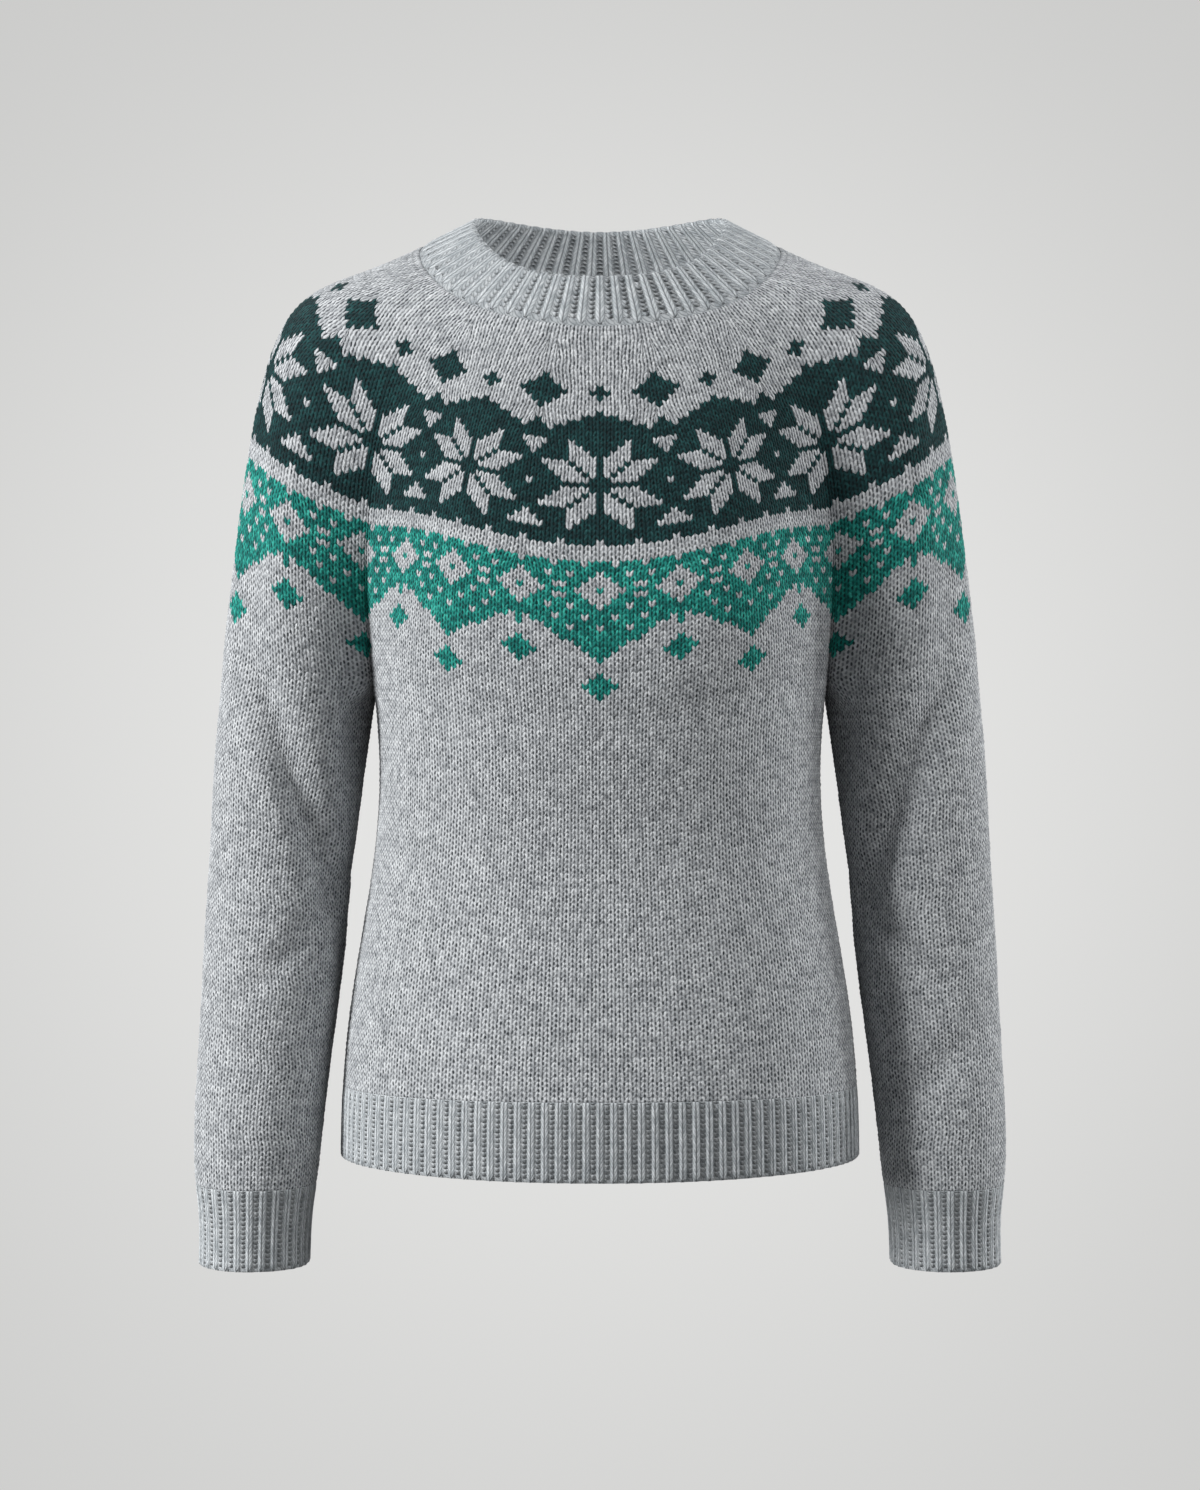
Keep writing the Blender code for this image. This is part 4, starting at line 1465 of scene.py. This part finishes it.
# %% The yarns of each kind of piece
PLAIN = {
    "Grey": materials["grey yarn"],
    "Dark green": materials["dark green yarn"],
    "Teal": materials["teal yarn"],
    "Inside": materials["inside of the knitting"],
}
STRETCHED = dict(PLAIN, Grey=materials["stretched grey yarn"])
RIBBED = dict(PLAIN, Grey=materials["rib yarn"], Inside=materials["rib yarn"])
COLLAR = dict(PLAIN, Grey=materials["neckband yarn"], Inside=materials["neckband yarn"])
print("places for a yarn:", ", ".join(PLAIN))

# %% [markdown]
# ## The body and the sleeves
# Plain stockinette all round: every square of the chart is a knit stitch in grey.

# %% Knit the body
LINING_ROWS = {"body": 16, "sleeve": 24, "lower yoke": 7, "upper yoke": 10}


def plain_chart(form, width=None):
    """Grey knit stitches, on every square whose column is there."""
    wale, course = squares(form.wales, np.arange(form.courses))
    if width:
        keep = np.array([width(w, c + 0.5) > 0 for w, c in zip(wale, course)])
        wale, course = wale[keep], course[keep]
    return chart_object(wale, course)


span = (0, BODY_COURSES)
body = knitted("body_knit", plain_chart(body_form), body_form, span, LINING_ROWS["body"], PLAIN)

# %% Knit the sleeves
sleeves = {}
span = (0, SLEEVE_COURSES)
for side, form in sleeve_forms.items():
    chart = plain_chart(form, sleeve_width)
    rows = LINING_ROWS["sleeve"]
    sleeves[side] = knitted(f"sleeve_{side}_knit", chart, form, span, rows, PLAIN)

# %% [markdown]
# ## The yoke
# Only half of a repeat is drawn, from the middle of the motif outwards, because the other half
# mirrors it. The rows are listed from the neck down, as one reads a chart. They get shorter
# towards the neck, where columns have ended. The bands are old ones of the north: stars with
# eight petals, stepped points, lozenges and rows of dots.

# %% The yoke chart
YOKE_CHART = """
.......
.......
.......
........
........
........
........
........
........
.........
........d
.......dd
d.....ddd
dd...dddd
d.....ddd
.......dd
........d
d.........
ddd.......
ddddd....d
ddddddd.dd
dddddddddd
ddddddddddd
dddd.ddd...
ddd..dddd..
dd...ddddd.
d....dddddd
d...d....dd
d..d....ddd
d.d....dddd
dd....ddddd
dddddddddd.
dd....ddddd
d.d....dddd
d..d....ddd
d...d....dd
d....dddddd
dd...ddddd.
ddd..dddd..
dddd.ddd...
ddddddddddd
ddddddddddd
.dddd.dddd.
...........
...........
............
tt.ttt.tttt.
tttttttttttt
.ttt.tt.ttt.
..tttttttt..
...tt..tt...
t...tttt...t
...tt..tt...
..tttttttt..
.ttt.tt.ttt.
tttttttttttt
tt.ttt.ttttt
tttttttttt.t
.ttt.ttt...t
ttttttt.....
tttttt......
tttt.......t
ttt.......tt
tt.......ttt
t.........tt
...........t
............
t...........
tt..........
ttt.........
tt..........
t...........
............
............
............
............
""".split()
print("rows of the chart:", len(YOKE_CHART), "for", YOKE_COURSES, "courses")

# %% Knit the yoke
YARN_OF = {".": GREY, "d": DARK_GREEN, "t": TEAL}
SPLIT_COURSE = 32  # where the upper half begins, so that neither half is too large a mesh
FULL_DISTANCES = REPEAT // 2 + 1


def square_of(distance, course):
    """The chart's letter for a place, or None where its column has ended."""
    if YOKE_ENDS.get(distance, math.inf) <= course:
        return None
    ended = sum(1 for gone, last in YOKE_ENDS.items() if last <= course and gone < distance)
    return YOKE_CHART[YOKE_COURSES - 1 - course][distance - ended]


YOKE_SQUARES = [[square_of(d, c) for d in range(FULL_DISTANCES)] for c in range(YOKE_COURSES)]


def yoke_chart(first, last):
    wale, course = squares(YOKE_WALES, np.arange(first, last))
    found = [YOKE_SQUARES[c][d] for c, d in zip(course, yoke_distance(wale))]
    keep = np.array([letter is not None for letter in found])
    yarn = np.array([YARN_OF[letter] for letter in found if letter])
    return chart_object(wale[keep], course[keep], yarn=yarn)


def knit_yoke(part, span, finishes):
    rows = LINING_ROWS[f"{part} yoke"]
    return knitted(f"yoke_{part}_knit", yoke_chart(*span), yoke_form, span, rows, finishes)


yoke_lower = knit_yoke("lower", (0, SPLIT_COURSE), PLAIN)
yoke_upper = knit_yoke("upper", (SPLIT_COURSE, YOKE_COURSES), STRETCHED)

# %% [markdown]
# ## The ribbed bands
# One knit wale and one purl wale in turn, on the outside and the other way round on the inside, so
# that a rib on one side is a valley on the other. The neckband's first course is all purl, the
# ridge that is left where its stitches are picked up.

# %% Knit the bands
RIB_STITCH_RISE = 0.55 * MM
NECK_STITCH_RISE = 0.35 * MM
RIB_UNEVENNESS = 0.5 * MM


def band_chart(form, outer, ridge):
    """Knit on even wales of the outer face, and on odd wales of the inner face."""
    wale, course = squares(form.wales, np.arange(form.courses))
    is_outside = (course >= outer[0]) & (course < outer[1])
    return chart_object(wale, course, ((wale % 2 == 1) == is_outside) | (course == ridge))


def knit_band(name, form, outer, finishes=RIBBED, rise=RIB_STITCH_RISE, ridge=None):
    """A band, where outer says on which of the form's courses its outer face lies."""
    chart = band_chart(form, outer, ridge)
    return knitted(name, chart, form, (0, form.courses), 0, finishes, rise, RIB_UNEVENNESS)


def hanging_band(name, form):
    """The hem or a cuff. Its form starts at the top of the inner face."""
    return knit_band(name, form, (HIDDEN_COURSES + RIM_COURSES // 2, form.courses))


hem = hanging_band("hem_rib_knit", hem_form)
outer = (0, NECK_BAND_COURSES + RIM_COURSES // 2)
neckband = knit_band("neckband_knit", neck_form, outer, COLLAR, NECK_STITCH_RISE, ridge=0)
cuffs = {side: hanging_band(f"cuff_{side}_knit", form) for side, form in cuff_forms.items()}

# %% Clear the table
FORMS = yoke_form, body_form, hem_form, neck_form, *sleeve_forms.values(), *cuff_forms.values()
for helper in (knit, purl, *(form.shape for form in FORMS)):
    bpy.data.objects.remove(helper)
print("forms put away:", len(FORMS))

# %% [markdown]
# ## What each piece is
# Every piece of cloth is hung on the frame, and the plain solid of the frame that it stands for is
# hidden.

# %% Dress the frame
def dress(piece, node):
    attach(piece, "root")
    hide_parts(node)


dress(body, "body")
dress(yoke_lower, "yoke")
dress(yoke_upper, "yoke")
for side, sleeve in sleeves.items():
    dress(sleeve, f"sleeve_{side}")
dress(hem, "hem_rib")
for side, cuff in cuffs.items():
    dress(cuff, f"cuff_{side}")
dress(neckband, "neckband")
print("bodies dressed:", len(frame["nodes"]))

# %% [markdown]
# ## Camera, floor and light
# The camera stands level with the middle of the sweater, two metres in front of it. Its focal
# length follows from how much of the air beside the sweater has to be in view.

# %% Camera
CAMERA_DISTANCE = 2.2
FRAME_HEIGHT = 1.043  # metres of the sweater's plane in view
SENSOR = 36.0  # millimetres
CENTRE_Z = -0.3325

lens = bpy.data.cameras.new("camera")
lens.sensor_fit = "AUTO"
lens.sensor_width = SENSOR
lens.lens = SENSOR * CAMERA_DISTANCE / FRAME_HEIGHT
camera = linked("camera", lens)
camera.location = (0, -CAMERA_DISTANCE, CENTRE_Z)
camera.rotation_euler = (math.pi / 2, 0, 0)
bpy.context.scene.camera = camera
print("focal length: %.1f mm" % lens.lens)


# %% [markdown]
# Floor and walls are one round pale dish, so that no line shows behind the knitting from any
# side. It is a profile turned round the upright axis: flat floor, quarter round, straight wall.

# %% The studio dish
FLOOR_Z = -2.0
DISH_RADIUS = 5.0
DISH_BEND = 1.6
DISH_TOP = 4.2
DISH_STEP = 0.4
PAPER_GREY = (0.25, 0.25, 0.25, 1.0)
# Painted light: the camera sees the paper glow this bright in the middle and this dark far out.
PAPER_PAINTED_LIGHT = (0.775, 0.775, 0.765, 1.0)
PAPER_PAINTED_SHADE = (0.600, 0.600, 0.592, 1.0)
PAPER_PAINTED_FADE = 0.4, 2.35  # metres from the middle of the view


def dish_profile():
    """Radius and height of each ring, from the middle of the floor to the top of the wall."""
    centre_r, centre_z = DISH_RADIUS - DISH_BEND, FLOOR_Z + DISH_BEND
    floor = [(r, FLOOR_Z) for r in np.linspace(DISH_STEP, centre_r, 8)]
    turns = np.linspace(0, math.pi / 2, 13)[1:]
    bend = [(centre_r + DISH_BEND * math.sin(a), centre_z - DISH_BEND * math.cos(a)) for a in turns]
    wall = [(DISH_RADIUS, z) for z in np.linspace(centre_z + DISH_STEP, DISH_TOP, 6)]
    return [(0.0, FLOOR_Z)] + floor + bend + wall


print("rings of the dish:", len(dish_profile()))


# %% The dish and its paper
def studio_paper():
    """Paper that bounces light as paper does. The camera sees it glow instead, as a painted pool of
    light: even in the middle and a little darker far out.
    """
    paper = bpy.data.materials.new("studio paper")
    paper.use_nodes = True
    tree = paper.node_tree
    shader = tree.nodes["Principled BSDF"]
    shader.inputs["Base Color"].default_value = PAPER_GREY
    shader.inputs["Roughness"].default_value = 1.0
    shader.inputs["Specular IOR Level"].default_value = 0.0
    place = split(tree, add(tree, "ShaderNodeTexCoord").outputs["Object"])
    flat = joined(tree, place[0], 0.0, place[2] - CENTRE_Z)
    far = vector_maths(tree, "LENGTH", flat).outputs["Value"]
    tone = mixed(tree, ranged(tree, far, *PAPER_PAINTED_FADE), PAPER_PAINTED_LIGHT, PAPER_PAINTED_SHADE)
    # A painted glow, seen by the camera only.
    glow = add(tree, "ShaderNodeEmission", tone, 1.0)
    seen = add(tree, "ShaderNodeLightPath").outputs["Is Camera Ray"]
    both = add(tree, "ShaderNodeMixShader", seen, shader, glow)
    tree.links.new(both.outputs[0], tree.nodes["Material Output"].inputs["Surface"])
    return paper


def make_dish(segments=96):
    profile = dish_profile()
    angles = np.arange(segments) * 2 * math.pi / segments
    points = [(0, 0, FLOOR_Z)]
    for r, z in profile[1:]:
        points += [(r * math.cos(a), r * math.sin(a), z) for a in angles]
    faces = [(0, 1 + n, 1 + (n + 1) % segments) for n in range(segments)]
    for ring in range(len(profile) - 2):
        low, high = 1 + ring * segments, 1 + (ring + 1) * segments
        for n in range(segments):
            m = (n + 1) % segments
            faces.append((low + n, high + n, high + m, low + m))
    mesh = bpy.data.meshes.new("studio dish")
    mesh.from_pydata(points, [], faces)
    mesh.shade_smooth()
    mesh.materials.append(studio_paper())
    return linked("studio_dish", mesh)


make_dish()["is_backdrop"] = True


# %% [markdown]
# A tall light from the left models the chest and the folds and leaves the right side darker. A
# high one from the right opens that shadow, and a third, square to the side, draws the right
# edge. A little lamp inside the collar stands for the light that falls in through the neck.

# %% Lights
class Lamp(NamedTuple):
    name: str
    place: tuple
    watts: float
    width: float
    height: float
    aim: tuple = (0, 0, -0.3)


LAMPS = (
    Lamp("tall key from the left", (-3.4, -1.6, 0.8), watts=222, width=0.9, height=2.8),
    Lamp("high light from the right", (2.1, -1.8, 2.6), watts=80, width=1.2, height=1.2),
    Lamp("edge light from the right", (3.8, 0.2, 0.7), watts=80, width=1.2, height=1.2),
    Lamp("little lamp inside the collar", (0, 0, -0.12), 0.2, 0.06, 0.06, aim=(0, 0.05, 0.02)),
)

for lamp in LAMPS:
    light = bpy.data.lights.new(lamp.name, "AREA")
    light.shape = "RECTANGLE"
    light.size = lamp.width
    light.size_y = lamp.height
    light.energy = lamp.watts
    made = linked(lamp.name, light)
    made.location = lamp.place
    x, y, z = np.array(lamp.aim) - np.array(lamp.place)
    tilt = math.atan2(z, math.hypot(x, y))
    made.rotation_euler = (math.pi / 2 + tilt, 0, math.atan2(-x, y))

AIR_COLOUR = (0.95, 0.97, 1.0, 1.0)
AIR_STRENGTH = 0.3
world = bpy.data.worlds.new("studio air")
world.use_nodes = True
air = world.node_tree.nodes["Background"]
air.inputs["Color"].default_value = AIR_COLOUR
air.inputs["Strength"].default_value = AIR_STRENGTH
bpy.context.scene.world = world
bpy.context.scene.view_settings.view_transform = "Standard"
print("lamps:", len(LAMPS))

# %% [markdown]
# ## Sizes, and the end
# The last cell notes how large the bare frame is and how large the dressed sweater is.

# %% Sizes
visual_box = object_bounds()


def plain(box):
    return [[float(x) for x in corner] for corner in box]


{"cad": plain(cad_box), "visual": plain(visual_box)}
print("frame:", plain(cad_box))
print("dressed:", plain(visual_box))
